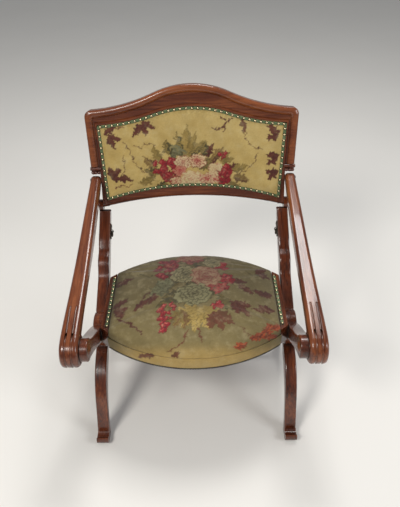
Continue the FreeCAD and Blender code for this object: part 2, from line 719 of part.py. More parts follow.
# Back cushion rings: share of the crown, and inset from the gimp as a share of the
# opening's height at its sides.
BACK_RING_SHARES = ((0.0, 0.0), (0.20, 0.023), (0.50, 0.091), (0.78, 0.202), (0.95, 0.314),
                    (1.0, 0.388))


def back_cushion():
    inset = soft_gap
    side_height = size("opening_top_corner") - size("opening_foot_corner")
    rings = [opening_outline(-inset, back_thickness - soft_gap), opening_outline(-inset, 0)]
    for crown_share, inset_share in BACK_RING_SHARES:
        inset = size("gimp_width") + soft_gap + inset_share * side_height
        rings.append(opening_outline(-inset, -crown_share * size("back_crown")))
    return Part.makeLoft(rings, True, True)


def back_gimp():
    thick = size("gimp_thickness")
    outer = plate(opening_outline(-soft_gap), -thick, 0)
    inner = plate(opening_outline(-size("gimp_width")), -thick, 0)
    return outer.cut(inner)


def nail_cap(direction):
    # A shallow dome on its own flat, rising along the direction given.
    radius = size("nail_radius")
    height = size("nail_height")
    ball_radius = (radius ** 2 + height ** 2) / (2 * height)
    ball = Part.makeSphere(ball_radius, direction * (height - ball_radius))
    return ball.common(Part.makeCylinder(radius, height, ORIGIN, direction))


def nail_row(cap, points):
    caps = []
    for point in points:
        nail = cap.copy()
        nail.translate(point)
        caps.append(nail)
    return Part.makeCompound(caps)


def back_nails():
    path = opening_outline(-size("gimp_width") / 2, -size("gimp_thickness"))
    count = int(round(path.Length / size("nail_pitch")))
    return nail_row(nail_cap(-Y_AXIS), path.discretize(Number=count + 1)[:-1])


def back_straps():
    width = size("back_strap_width")
    thick = size("outer_cloth_thickness")
    lap = size("inner_bead") * CLOTH_LAP_SHARE
    area = plate(opening_outline(lap), back_thickness, back_thickness + thick * 2)
    half = opening_top_half
    edge = back_top_half
    middle = (size("opening_top_middle") + size("opening_foot_middle")) / 2
    reach = size("crest_middle_height")
    straps = [Part.makeBox(edge * 2, thick, width,
                           FreeCAD.Vector(-edge, back_thickness + thick,
                                          middle - width / 2)).common(area)]
    for share in STRAP_PLACE_SHARES:
        upright = Part.makeBox(width, thick, reach,
                               FreeCAD.Vector(share * half - width / 2, back_thickness, 0))
        straps.append(upright.common(area))
    return straps[0].fuse(straps[1:])


def back_cloth():
    thick = size("outer_cloth_thickness")
    front = back_thickness + thick * 2
    lap = size("inner_bead") * CLOTH_LAP_SHARE
    return plate(opening_outline(lap), front, front + thick)


# Arm outline: shares of its length from the hinge to the scroll, and heights over the line
# between them as shares of the scroll radius.
ARM_TOP_SHARES = ((0.28, 0.42), (0.56, 0.52), (0.82, 0.82), (1.0, 1.0))
FLUTE_LIFT_SHARE = 0.25
FLUTE_PLACE_SHARES = (1 / 3, 2 / 3)
ARM_FOOT_SHARES = ((0.28, -0.46), (0.56, -0.28), (0.80, 0.04), (0.95, 0.10))


def arm():
    along = side_point(scroll_y - arm_hinge_y, scroll_z - arm_hinge_z)
    up = X_AXIS.cross(along).normalize() * -size("scroll_radius")
    start = side_point(arm_hinge_y, arm_hinge_z)

    def place(shares):
        return start + along * shares[0] + up * shares[1]
    end_share = size("arm_end_radius") / size("scroll_radius")
    rear_top = start + up * end_share
    rear_foot = start - up * end_share
    tip = start - along * (size("arm_end_radius") / along.Length)
    top = Part.BSplineCurve()
    top.interpolate(Points=[rear_top] + [place(shares) for shares in ARM_TOP_SHARES],
                    InitialTangent=along, FinalTangent=along)
    foot = [rear_foot] + [place(shares) for shares in ARM_FOOT_SHARES]
    edges = [top.toShape(), line(place(ARM_TOP_SHARES[-1]), foot[-1]), curve(foot),
             arc(rear_foot, tip, rear_top)]
    inner = arm_inner
    outer = inner + size("arm_front_width")
    blank = slab(edges, inner, outer)
    blank = blank.fuse(rod(inner, outer, scroll_y, scroll_z, size("scroll_radius")))
    rear_y = arm_hinge_y + size("arm_end_radius") + overrun
    front_y = scroll_y - size("scroll_radius") - overrun
    rear_outer = inner + size("arm_rear_width")
    plan = Part.makePolygon([
        FreeCAD.Vector(inner, rear_y, 0), FreeCAD.Vector(rear_outer, rear_y, 0),
        FreeCAD.Vector(rear_outer, arm_hinge_y, 0), FreeCAD.Vector(outer, scroll_y, 0),
        FreeCAD.Vector(outer, front_y, 0), FreeCAD.Vector(inner, front_y, 0),
        FreeCAD.Vector(inner, rear_y, 0)])
    wedge = Part.Face(plan).extrude(Z_AXIS * (corner_z + size("crest_middle_height")))
    shape = blank.common(wedge).removeSplitter()
    round_edges = []
    for edge in shape.Edges:
        middle = edge.valueAt((edge.FirstParameter + edge.LastParameter) / 2)
        offset = middle - side_point(scroll_y, scroll_z)
        high = (middle - start).dot(up) > 0
        on_scroll = math.hypot(offset.y, offset.z) > size("scroll_radius") - running_gap
        if edge.BoundBox.YLength > size("scroll_radius") and high and on_scroll:
            round_edges.append(edge)
    shape = shape.makeFillet(size("arm_round"), round_edges)
    flute = size("flute_radius")
    flute_lift = flute * FLUTE_LIFT_SHARE
    groove_radius = size("scroll_radius") + flute_lift
    back_share = 1 - size("flute_length") / along.Length
    top_share = ARM_TOP_SHARES[2][1]
    ring_start = side_point(scroll_y, scroll_z) + up * (groove_radius / size("scroll_radius"))
    ring_end = start + along * back_share + up * (top_share + flute_lift / size("scroll_radius"))
    for width_share in FLUTE_PLACE_SHARES:
        x = inner + size("arm_front_width") * width_share
        centre = FreeCAD.Vector(x, scroll_y, scroll_z)
        ring = Part.makeTorus(groove_radius, flute, centre, X_AXIS)
        run = ring_end - ring_start
        straight = Part.makeCylinder(flute, run.Length, ring_start + X_AXIS * x, run)
        stop = Part.makeSphere(flute, ring_end + X_AXIS * x)
        shape = shape.cut(ring).cut(straight).cut(stop)
    for face_x in (inner, outer):
        centre = FreeCAD.Vector(face_x, scroll_y, scroll_z)
        shape = shape.cut(Part.makeTorus(size("scroll_groove"), flute / 2, centre, X_AXIS))
    eye = domed_cap(outer, scroll_y, scroll_z, size("scroll_eye"), size("cap_height"), 1)
    shape = shape.fuse(eye)
    bore = rod(inner - overrun, outer + overrun, arm_hinge_y, arm_hinge_z,
               size("pin_radius") + bore_gap)
    return shape.cut(bore).removeSplitter()


def headed_pin(start_x, face_x, y, z, radius, head_radius, head_height):
    shaft = rod(start_x, face_x, y, z, radius)
    return shaft.fuse(domed_cap(face_x, y, z, head_radius, head_height, 1)).removeSplitter()


def pivot_bolt():
    face = leg_outer + running_gap
    bolt = headed_pin(leg_inner, face, pivot_y, pivot_z, size("bolt_radius"),
                      size("cap_radius"), size("cap_height"))
    inner = domed_cap(leg_inner, pivot_y, pivot_z, size("cap_radius"), size("cap_height"), -1)
    return bolt.fuse(inner).removeSplitter()


# Catch: a small plate on the inner face of each front leg, with two screws, a staple and a
# loose ring, just below the back frame.
PLATE_PLACE_SHARES = (0.825, 0.735)
SCREW_PLACE_SHARE = 0.34


def catch_place():
    return side_point(pivot_y + PLATE_PLACE_SHARES[0] * size("back_reach"),
                      pivot_z + PLATE_PLACE_SHARES[1] * size("back_rise"))


def catch_plate():
    length = size("plate_length")
    width = size("plate_width")
    thick = size("plate_thickness")
    place = catch_place()
    slope = math.degrees(math.atan2(size("back_rise"), size("back_reach")))
    block = Part.makeBox(thick, length, width, FreeCAD.Vector(0, -length / 2, -width / 2))
    block.rotate(ORIGIN, X_AXIS, slope)
    block.translate(place + X_AXIS * (leg_inner - thick))
    face = leg_inner - thick
    for end in (-1, 1):
        y = place.y + end * SCREW_PLACE_SHARE * length * math.cos(math.radians(slope))
        z = place.z + end * SCREW_PLACE_SHARE * length * math.sin(math.radians(slope))
        block = block.fuse(domed_cap(face, y, z, size("screw_radius"), size("ring_wire"), -1))
    loop = Part.makeTorus(size("staple_radius"), size("staple_wire"), place + X_AXIS * face,
                          Y_AXIS)
    loop = between(loop, 0, face + thick / 2, -seat_depth, seat_depth, 0, corner_z)
    return block.fuse(loop).removeSplitter()


def ring_hang():
    # Where the wire of the ring lies in the staple: against the plate, low in the loop.
    reach = size("staple_radius") - size("staple_wire") - size("ring_wire") - running_gap
    out = size("ring_wire") + running_gap
    drop = math.sqrt(reach ** 2 - out ** 2)
    return leg_inner - size("plate_thickness") - out, catch_place().z - drop


def catch_ring():
    radius = size("ring_radius")
    centre_x, hang_z = ring_hang()
    return Part.makeTorus(radius, size("ring_wire"),
                          FreeCAD.Vector(centre_x, catch_place().y, hang_z - radius), X_AXIS)


front_leg_shape = front_leg()
rear_leg_shape = rear_leg()
arm_shape = arm()
crest_shape, lower_rail_shape, stile_shape = back_frame()
stile_shape = back_pin_bores(lean_back(stile_shape))
bolt_shape = pivot_bolt()
back_pin_shape = headed_pin(back_pin_start + running_gap, leg_outer, hinge_y, hinge_z,
                            size("pin_radius"), size("pin_head_radius"),
                            size("pin_head_height"))
arm_face = arm_inner + size("arm_rear_width")
arm_pin_shape = headed_pin(arm_pin_start + running_gap, arm_face + running_gap,
                           arm_hinge_y, arm_hinge_z, size("pin_radius"),
                           size("pin_head_radius"), size("pin_head_height"))
head_cap_shape = domed_cap(leg_inner, scroll_y, scroll_z, size("cap_radius"),
                           size("cap_height"), -1)
side_rail_shape = seat_side()

SPACER_SHARES = (0.33, 0.23)


def seat_spacer():
    # A round wooden washer between a seat side rail and the front leg beside it.
    return rod(seat_half, leg_inner, pivot_y + SPACER_SHARES[0] * size("back_reach"),
               pivot_z + SPACER_SHARES[1] * size("back_rise"), size("spacer_radius"))


def seat_gimp():
    width = size("gimp_width")
    front_side = -size("seat_front_reach") + size("seat_front_bow")
    back_side = size("seat_back_reach") - size("seat_back_bow")
    return Part.makeBox(width, back_side - front_side, size("gimp_thickness"),
                        FreeCAD.Vector(rail_inner + soft_gap, front_side, size("seat_rail_top")))


def seat_nails():
    top = size("seat_rail_top") + size("gimp_thickness")
    middle_x = rail_inner + soft_gap + size("gimp_width") / 2
    edge = size("gimp_width") / 2
    start = FreeCAD.Vector(middle_x, -size("seat_front_reach") + size("seat_front_bow") + edge,
                           top)
    end = FreeCAD.Vector(middle_x, size("seat_back_reach") - size("seat_back_bow") - edge, top)
    run = end - start
    count = int(round(run.Length / size("nail_pitch")))
    points = [start + run * (step / count) for step in range(count + 1)]
    return nail_row(nail_cap(Z_AXIS), points)


spacer_shape = seat_spacer()
seat_gimp_shape = seat_gimp()
seat_nail_shape = seat_nails()
plate_shape = catch_plate()
ring_shape = catch_ring()
for side, word in SIDES:
    keep(word + "_front_leg", for_side(front_leg_shape, side))
    keep(word + "_rear_leg", for_side(rear_leg_shape, side))
    keep(word + "_arm", for_side(arm_shape, side))
    keep(word + "_stile", for_side(stile_shape, side))
    keep(word + "_pivot_bolt", for_side(bolt_shape, side))
    keep(word + "_back_pin", for_side(back_pin_shape, side))
    keep(word + "_arm_pin", for_side(arm_pin_shape, side))
    keep(word + "_scroll_cap", for_side(head_cap_shape, side))
    keep(word + "_seat_rail", for_side(side_rail_shape, side))
    keep(word + "_seat_spacer", for_side(spacer_shape, side))
    keep(word + "_seat_gimp", for_side(seat_gimp_shape, side))
    keep(word + "_seat_nails", for_side(seat_nail_shape, side))
    keep(word + "_catch_plate", for_side(plate_shape, side))
    keep(word + "_catch_ring", for_side(ring_shape, side))
front_rail_shape, back_rail_shape = bowed_rails()
front_cover_shape, back_cover_shape = seat_cover()
keep("crest_rail", lean_back(crest_shape))
keep("lower_back_rail", lean_back(lower_rail_shape))
keep("back_cushion", lean_back(back_cushion()))
keep("back_gimp", lean_back(back_gimp()))
keep("back_nails", lean_back(back_nails()))
keep("back_webbing", lean_back(back_straps()))
keep("outer_back_cloth", lean_back(back_cloth()))
keep("seat_front_rail", front_rail_shape)
keep("seat_back_rail", back_rail_shape)
keep("seat_front_cover", front_cover_shape)
keep("seat_back_cover", back_cover_shape)
keep("seat_webbing", seat_straps())
keep("seat_cushion", seat_cushion())
keep("rear_stretcher", stretcher())
tie_rail()
rest_rod()
doc.recompute()

# The origin lies on the floor under the middle of the chair's whole depth, and every
# piece is moved there together.
front_end = min(piece.Shape.optimalBoundingBox(False).YMin for piece in pieces)
rear_end = max(piece.Shape.optimalBoundingBox(False).YMax for piece in pieces)
mid_depth = round((front_end + rear_end) / 2, 3)
sheet.set(MID_DEPTH_CELL, str(mid_depth))
for piece in pieces:
    if piece.TypeId == "Part::Feature":
        shift = FreeCAD.Placement(-Y_AXIS * mid_depth, FreeCAD.Rotation())
        piece.Placement = shift.multiply(piece.Placement)
doc.recompute()

for name, y, z in (("crossing", pivot_y, pivot_z), ("back hinge", hinge_y, hinge_z),
                   ("arm hinge", arm_hinge_y, arm_hinge_z), ("scroll", scroll_y, scroll_z),
                   ("ring hinge", catch_place().y, ring_hang()[1])):
    print("%s: Y %.3f mm, Z %.3f mm" % (name, y - mid_depth, z))
print("ring hinge: X %.3f mm" % ring_hang()[0])

broken = [item.Name for item in doc.Objects if "Invalid" in item.State or "Error" in item.State]
if broken:
    raise RuntimeError("not built: " + ", ".join(broken))
for piece in pieces:
    if piece.Shape.isNull() or not piece.Shape.isValid():
        raise RuntimeError("bad shape: " + piece.Label)
for piece in pieces:
    piece.Shape.exportStep("parts/" + piece.Label + ".step")
    box = piece.Shape.optimalBoundingBox(False)
    print("%-20s %2d solids %8.1f cm3  X %.1f..%.1f  Y %.1f..%.1f  Z %.1f..%.1f" % (
        piece.Label, len(piece.Shape.Solids), piece.Shape.Volume / 1000,
        box.XMin, box.XMax, box.YMin, box.YMax, box.ZMin, box.ZMax))
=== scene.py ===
"""A folding curule armchair in polished mahogany with floral cloth, dressed over its CAD frame."""

import math

import bmesh
import bpy
import numpy as np
from bpy.props import FloatProperty, FloatVectorProperty, IntProperty, PointerProperty
from mathutils import Matrix, Vector


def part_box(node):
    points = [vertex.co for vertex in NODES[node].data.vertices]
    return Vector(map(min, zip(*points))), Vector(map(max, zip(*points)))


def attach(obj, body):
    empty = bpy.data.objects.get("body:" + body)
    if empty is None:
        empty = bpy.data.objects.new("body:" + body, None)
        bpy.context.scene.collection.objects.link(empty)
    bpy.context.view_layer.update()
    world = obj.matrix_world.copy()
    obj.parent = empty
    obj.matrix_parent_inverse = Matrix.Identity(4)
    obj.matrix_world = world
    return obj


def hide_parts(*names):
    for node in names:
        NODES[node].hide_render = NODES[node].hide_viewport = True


bl_info = {
    "name": "Folding curule armchair",
    "version": (1, 0, 0),
    "blender": (4, 5, 0),
    "location": "View3D > Sidebar > Armchair",
    "description": "Cloth, braid, nails and polish for a folding armchair",
    "category": "Object",
}

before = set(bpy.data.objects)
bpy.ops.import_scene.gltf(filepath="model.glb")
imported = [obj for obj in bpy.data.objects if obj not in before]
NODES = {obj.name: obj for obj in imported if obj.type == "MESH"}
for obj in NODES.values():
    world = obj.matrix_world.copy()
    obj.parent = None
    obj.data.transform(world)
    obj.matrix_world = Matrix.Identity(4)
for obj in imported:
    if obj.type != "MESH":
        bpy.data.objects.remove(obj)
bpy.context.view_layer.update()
SIDES = ("left", "right")

# The plane of the padded back: its lower front edge, and how far it leans
LEAN = math.radians(15.1)
BACK_FOOT = Vector((0, 0.218763, 0.517))
BACK_UP = Vector((0, math.sin(LEAN), math.cos(LEAN)))
BACK_FRONT = Vector((0, -math.cos(LEAN), math.sin(LEAN)))
# The opening of the back frame, half widths and heights in metres
OPENING_TOP, OPENING_FOOT = 0.284, 0.270
OPENING_TOP_CORNER, OPENING_TOP_MIDDLE = 0.257, 0.308
OPENING_FOOT_CORNER, OPENING_FOOT_MIDDLE = 0.024, 0.066
# The crest and stiles, and the foot of their moulding
CREST_HALF, COLLAR_HALF, COLLAR_UP = 0.319, 0.311, 0.108
CREST_CORNER, CREST_MIDDLE, MOULDING_FOOT = 0.300, 0.371, 0.131
CREST_BEND = 0.020
# How far behind the foot of the back the webbing and the outer cloth lie
WEBBING_BACK, OUTER_CLOTH_BACK = 0.0356, 0.0378
# The seat's outline: half width, and the front and back bows
SEAT_HALF = 0.258
SEAT_FRONT, SEAT_BACK = -0.270237, 0.151763
SEAT_BOW = 0.102
SEAT_FOOT, SEAT_RAIL_TOP, BORDER_TOP = 0.314, 0.3483, 0.3550
SEAT_INSIDE = 0.2377
SEAT_MIDDLE = (SEAT_FRONT + SEAT_BACK) / 2
# Straps of webbing: width on the seat and on the back, how high they weave, their middle height
SEAT_STRAP, BACK_STRAP, STRAP_WEAVE, SEAT_STRAP_LEVEL = 0.050, 0.052, 0.00085, 0.3461
# Steps of the cloth simulation that swells the padding
STUFFING_STEPS = 20
# The camera, fitted to the photograph: place, turns, and focal length in heights of the picture
CAMERA_PLACE = (0.0224, -1.3069, 1.4878)
CAMERA_PITCH, CAMERA_YAW, CAMERA_ROLL = 0.6488, 0.003, -0.0181
CAMERA_LENS, CAMERA_SENSOR = 572.77 / 507, 36
# The lamps: place, size, power and colour, and the point that they face
LAMPS = (("key", (-1.7, -2.3, 3.1), 1.0, 80, (1.0, 0.97, 0.92)),
         ("fill", (2.6, -1.6, 2.0), 1.2, 32, (0.95, 0.97, 1.0)),
         ("top", (0.3, 0.9, 3.2), 1.0, 48, (1.0, 0.99, 0.97)))
LIT_POINT = Vector((0, 0, 0.45))
SKY_COLOUR, SKY_STRENGTH = (0.95, 0.97, 1.0, 1), 0.27
FLOOR_HALF, FLOOR_COLOURS = 14, ((0.80, 0.78, 0.74), (0.84, 0.82, 0.78))


# ---- shader wiring

def shader_maths(operation, swapped=False):
    """One of Python's operators as a maths node, with its two values in either order."""
    def work(self, other):
        return self.maths(operation, *((other, self) if swapped else (self, other)))
    return work


class Signal:
    """A shader socket that Python's operators work on, for the maths of a finish."""

    def __init__(self, finish, socket):
        self.finish = finish
        self.socket = socket

    def maths(self, operation, *values):
        return self.finish.node("ShaderNodeMath", {"operation": operation},
                                dict(enumerate(values)))

    __add__ = __radd__ = shader_maths("ADD")
    __sub__ = shader_maths("SUBTRACT")
    __rsub__ = shader_maths("SUBTRACT", swapped=True)
    __mul__ = __rmul__ = shader_maths("MULTIPLY")
    __truediv__ = shader_maths("DIVIDE")

    def sine(self):
        return self.maths("SINE", self)

    def clamped(self):
        return self.maths("MAXIMUM", self.maths("MINIMUM", self, 1.0), 0.0)

    def above(self, edge, soft):
        """0 below an edge value and 1 above it, over a soft step."""
        return ((self - (edge - soft)) / (2 * soft)).clamped()


class Finish:
    """A material under construction: its nodes and the shader that they feed."""

    def __init__(self, name):
        self.material = bpy.data.materials.new(name)
        self.material.use_nodes = True
        self.tree = self.material.node_tree
        self.shader = self.tree.nodes["Principled BSDF"]

    def node(self, kind, settings, sockets, output=0):
        """Adds one node: its settings first, then the values or links of its sockets."""
        made = self.tree.nodes.new(kind)
        for name, value in settings.items():
            if name == "stops":
                ramp = made.color_ramp
                while len(ramp.elements) < len(value):
                    ramp.elements.new(1.0)
                for element, (place, colour) in zip(ramp.elements, value):
                    element.position = place
                    element.color = (*colour, 1.0)
            else:
                setattr(made, name, value)
        for name, value in sockets.items():
            self.feed(made.inputs[name], value)
        return Signal(self, made.outputs[output])

    def feed(self, target, value):
        if isinstance(value, Signal):
            self.tree.links.new(value.socket, target)
        elif target.type == "RGBA" and len(value) == 3:
            target.default_value = (*value, 1.0)
        else:
            target.default_value = value

    def place(self, along=(1, 0, 0)):
        """Object coordinates, turned so that X runs along a direction."""
        turn = Vector(along).normalized().rotation_difference(Vector((1, 0, 0)))
        here = self.node("ShaderNodeTexCoord", {}, {}, "Object")
        return self.node("ShaderNodeMapping", {}, {"Vector": here, "Rotation": turn.to_euler()})

    def stretched(self, vector, stretch):
        return self.node("ShaderNodeVectorMath", {"operation": "MULTIPLY"},
                         {0: vector, 1: stretch})

    def axis(self, vector, letter):
        return self.node("ShaderNodeSeparateXYZ", {}, {"Vector": vector}, letter)

    def noise(self, vector, scale=1.0, detail=3.0, rough=0.55, output="Fac"):
        return self.node("ShaderNodeTexNoise", {}, {"Vector": vector, "Scale": scale,
                                                    "Detail": detail, "Roughness": rough},
                         output)

    def streaks(self, vector, stretch, detail=3.0, output="Fac"):
        return self.noise(self.stretched(vector, stretch), detail=detail, output=output)

    def mix(self, share, first, second, blend="MIX"):
        made = self.tree.nodes.new("ShaderNodeMix")
        made.data_type = "RGBA"
        made.blend_type = blend
        self.feed(made.inputs[0], share)
        self.feed(made.inputs[6], first)
        self.feed(made.inputs[7], second)
        return Signal(self, made.outputs[2])

    def ramp(self, value, stops):
        return self.node("ShaderNodeValToRGB", {"stops": stops}, {"Fac": value})

    def crevice(self, reach, inside=False):
        """Near 1 in the open and near 0 where faces close in, or inside it, at thin edges."""
        return self.node("ShaderNodeAmbientOcclusion", {"samples": 6, "inside": inside},
                         {"Distance": reach}, "AO")

    def grimed(self, colour, reach, edge, soft, share, crevice_shade):
        """A colour with painted shade laid where faces close in."""
        return self.mix((1 - self.crevice(reach)).above(edge, soft) * share, colour, crevice_shade)

    def bump(self, height, strength, depth, under=None):
        sockets = {"Height": height, "Strength": strength, "Distance": depth}
        if under is not None:
            sockets["Normal"] = under
        return self.node("ShaderNodeBump", {}, sockets, "Normal")

    def coat(self, **sockets):
        """Sets the shader's own sockets: words with underscores for spaces."""
        for name, value in sockets.items():
            self.feed(self.shader.inputs[name.replace("_", " ")], value)
        return self.material


# ---- finishes

def polished_wood(name, along, tone=0.0):
    """Shellacked mahogany: streaks and pores along the piece, and dark polish in the crevices,
    which also paints their shade.
    """
    colours = bpy.context.scene.armchair_colours
    f = Finish(name)
    place = f.place(along)
    drift = f.streaks(place, (2.5, 9, 9), 2, output="Color")
    wavy = f.node("ShaderNodeVectorMath", {"operation": "MULTIPLY_ADD"},
                  {0: drift, 1: (0.05, 0.012, 0.012), 2: place})
    figure = f.streaks(wavy, (4, 34, 34), 3)
    streak = f.streaks(wavy, (9, 210, 210), 3)
    pores = f.streaks(wavy, (45, 1500, 1500), 1)
    # a part's tone moves its grain along the ramp: above zero it paints light on the part, below
    # zero it paints shade
    grain = figure * 0.55 + streak * 0.45 + tone
    colour = f.ramp(grain, [(0.30, colours.wood_dark), (0.50, colours.wood_mid),
                            (0.70, colours.wood_light)])
    colour = f.mix(pores.above(0.66, 0.05) * 0.6, colour, colours.wood_dark)
    rubbed = (1 - f.crevice(0.004, inside=True)).above(0.45, 0.25)
    colour = f.mix(rubbed * 0.35, colour, colours.wood_light)
    # dark polish built up in the crevices, with painted shade: the wood darkens where faces close
    # in
    grime_and_shade = (1 - f.crevice(0.016)).above(0.42, 0.35)
    colour = f.mix(grime_and_shade * 0.8, colour, (0.010, 0.005, 0.0035))
    rough = 0.13 + streak * 0.10 + grime_and_shade * 0.25 + f.streaks(place, (14, 14, 14)) * 0.12
    ripple = f.streaks(place, (10, 26, 26), 1)
    normal = f.bump(pores, 0.15, 0.0004, f.bump(ripple, 0.25, 0.002))
    return f.coat(Base_Color=colour, Roughness=rough, Normal=normal, Coat_Weight=0.35,
                  Coat_Roughness=0.05, IOR=1.5)


def metal(name, colour, shade, rough):
    """A metal with tarnish in blotches, and painted shade in the corners."""
    f = Finish(name)
    place = f.place()
    blotch = f.noise(place, scale=160, detail=3)
    tint = f.mix(blotch.above(0.5, 0.16), colour, shade)
    # painted shade: the iron darkens where faces close in
    tint = f.grimed(tint, 0.003, 0.4, 0.3, 0.8, (0.01, 0.008, 0.006))
    scratch = f.streaks(place, (900, 2600, 900), 1)
    return f.coat(Base_Color=tint, Metallic=1.0, Roughness=rough + blotch * 0.18 + scratch * 0.08,
                  Normal=f.bump(blotch, 0.2, 0.0003))


def nail_brass(name, colour, crown):
    """A brass nail head: worn bright on its crown, which faces one way, and dark at its rim, with
    a painted highlight on the crown and painted shade at the rim.
    """
    f = Finish(name)
    facing = f.node("ShaderNodeTexCoord", {}, {}, "Normal")
    level = f.node("ShaderNodeVectorMath", {"operation": "DOT_PRODUCT"}, {0: facing, 1: crown},
                   "Value")
    blotch = f.noise(f.place(), scale=260, detail=2)
    # painted highlight and shade: the head is bright where it faces the crown's way and dark
    # towards its rim, over the wear of the brass
    worn = (level + blotch * 0.06).above(0.90, 0.05)
    tint = f.mix(worn, (0.055, 0.040, 0.022), colour)
    return f.coat(Base_Color=tint, Metallic=0.85, Roughness=0.42 - worn * 0.16,
                  Normal=f.bump(blotch, 0.2, 0.0003))


def weave(f, place, pitch):
    """Crossing threads as a height from 0 to 1."""
    turns = 2 * math.pi / pitch
    scaled = f.stretched(place, (turns, turns, turns))
    across = f.axis(scaled, "X")
    up = f.axis(scaled, "Y") + f.axis(scaled, "Z")
    return across.sine() * up.sine() * 0.5 + 0.5


def floral_cloth(name, warmth):
    """Tapestry cloth: painted flowers carried by the mesh, under a ribbed weave."""
    f = Finish(name)
    place = f.place()
    painted = f.node("ShaderNodeAttribute", {"attribute_name": "floral"}, {}, "Color")
    thread = weave(f, place, 0.0022)
    slub = f.streaks(place, (60, 900, 900), 2)
    slub_up = f.streaks(place, (900, 60, 60), 2)
    tone = 0.84 + thread * 0.12 + slub * 0.14 + slub_up * 0.10
    toned = f.node("ShaderNodeVectorMath", {"operation": "SCALE"}, {0: painted, "Scale": tone})
    soil = f.noise(place, scale=7, detail=6, rough=0.7)
    worn = f.noise(place, scale=42, detail=5, rough=0.65)
    colour = f.mix(soil.above(0.52, 0.12) * 0.55, toned, warmth, "MULTIPLY")
    colour = f.mix(worn.above(0.56, 0.10) * 0.35, colour, warmth, "MULTIPLY")
    colour = f.mix((1 - worn).above(0.60, 0.08) * 0.16, colour, (0.50, 0.43, 0.25))
    # painted shade: the cloth darkens where its faces close in
    colour = f.grimed(colour, 0.008, 0.55, 0.35, 0.35, (0.04, 0.03, 0.015))
    normal = f.bump(thread, 0.35, 0.0005, f.bump(slub, 0.25, 0.0006))
    return f.coat(Base_Color=colour, Roughness=0.88, Normal=normal, Sheen_Weight=0.12,
                  Sheen_Roughness=0.5)


def plain_cloth(name, colour, shade, pitch):
    """A plain woven cloth or webbing."""
    f = Finish(name)
    place = f.place()
    thread = weave(f, place, pitch)
    slub = f.streaks(place, (70, 70, 1100), 2)
    tint = f.mix(slub.above(0.5, 0.2), colour, shade)
    tint = f.mix(thread * 0.3, tint, shade)
    # painted shade: the cloth darkens where its faces close in
    tint = f.grimed(tint, 0.01, 0.5, 0.4, 0.6, (0.02, 0.015, 0.01))
    return f.coat(Base_Color=tint, Roughness=0.92, Normal=f.bump(thread, 0.5, 0.0006),
                  Sheen_Weight=0.2, Sheen_Roughness=0.6)


def braid_yarn(name, colour, shade):
    """Silky yarn of the gimp, twisted and a little faded."""
    f = Finish(name)
    place = f.place()
    twist = f.noise(place, scale=1400, detail=2)
    fade = f.noise(place, scale=35, detail=2)
    tint = f.mix(twist.above(0.5, 0.2) * 0.7, colour, shade)
    tint = f.mix(fade.above(0.6, 0.15) * 0.35, tint, (0.30, 0.34, 0.20))
    # painted shade: the yarn darkens where the strands close in
    tint = f.grimed(tint, 0.003, 0.6, 0.3, 0.45, (0.015, 0.02, 0.012))
    return f.coat(Base_Color=tint, Roughness=0.72, Normal=f.bump(twist, 0.5, 0.0004),
                  Sheen_Weight=0.3, Sheen_Roughness=0.4)


# ---- mesh helpers

def add_object(name, data):
    made = bpy.data.objects.new(name, data)
    bpy.context.scene.collection.objects.link(made)
    return made


def add_piece(name, shape, finish, body, slot):
    """Makes a smooth object of a bmesh, with its finish and its body."""
    mesh = bpy.data.meshes.new(name)
    shape.to_mesh(mesh)
    shape.free()
    mesh.shade_smooth()
    return dress(add_object(name, mesh), finish, body, slot)


def cover(piece, finish):
    piece.data.materials.clear()
    piece.data.materials.append(finish)


def dress(piece, finish, body, slot, *nodes):
    """Gives a piece its finish, its body and the CAD nodes it replaces; its slot is not used."""
    cover(piece, finish)
    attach(piece, body)
    if nodes:
        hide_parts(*nodes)
    return piece


def settle(piece):
    """Replaces a piece's mesh by the one that its modifiers give."""
    graph = bpy.context.evaluated_depsgraph_get()
    made = bpy.data.meshes.new_from_object(piece.evaluated_get(graph))
    piece.modifiers.clear()
    old = piece.data
    piece.data = made
    made.name = piece.name
    bpy.data.meshes.remove(old)
    return piece


def thicken(piece, thickness, offset=0):
    """Gives an open surface a thickness, to one side or to both."""
    thick = piece.modifiers.new("thickness", "SOLIDIFY")
    thick.thickness = thickness
    thick.offset = offset
    settle(piece)
    piece.data.shade_smooth()


def chain(shape, places):
    """Points joined by edges in a bmesh, as the first row of an extrusion."""
    row = [shape.verts.new(place) for place in places]
    return row, [shape.edges.new(pair) for pair in zip(row[:-1], row[1:])]


def next_row(shape, edges):
    """Extrudes a row of edges where it lies: the fresh points and the fresh edges."""
    grown = bmesh.ops.extrude_edge_only(shape, edges=edges)["geom"]
    return [[item for item in grown if isinstance(item, kind)]
            for kind in (bmesh.types.BMVert, bmesh.types.BMEdge)]


def points_of(mesh, field="co"):
    found = np.empty(len(mesh.vertices) * 3)
    mesh.vertices.foreach_get(field, found)
    return found.reshape(-1, 3)


def move_points(mesh, places):
    mesh.vertices.foreach_set("co", places.ravel())
    mesh.update()


def line_distance(across, up, line):
    """How far each point of a plane is from a line through points."""
    nearest = np.full(len(across), 9.0)
    for (ax, ay), (bx, by) in zip(line[:-1], line[1:]):
        dx, dy = bx - ax, by - ay
        size = max(dx * dx + dy * dy, 1e-12)
        share = np.clip(((across - ax) * dx + (up - ay) * dy) / size, 0, 1)
        nearest = np.minimum(nearest, np.hypot(across - ax - share * dx, up - ay - share * dy))
    return nearest


def smoothstep(low, high, value):
    share = np.clip((value - low) / (high - low), 0, 1)
    return share * share * (3 - 2 * share)


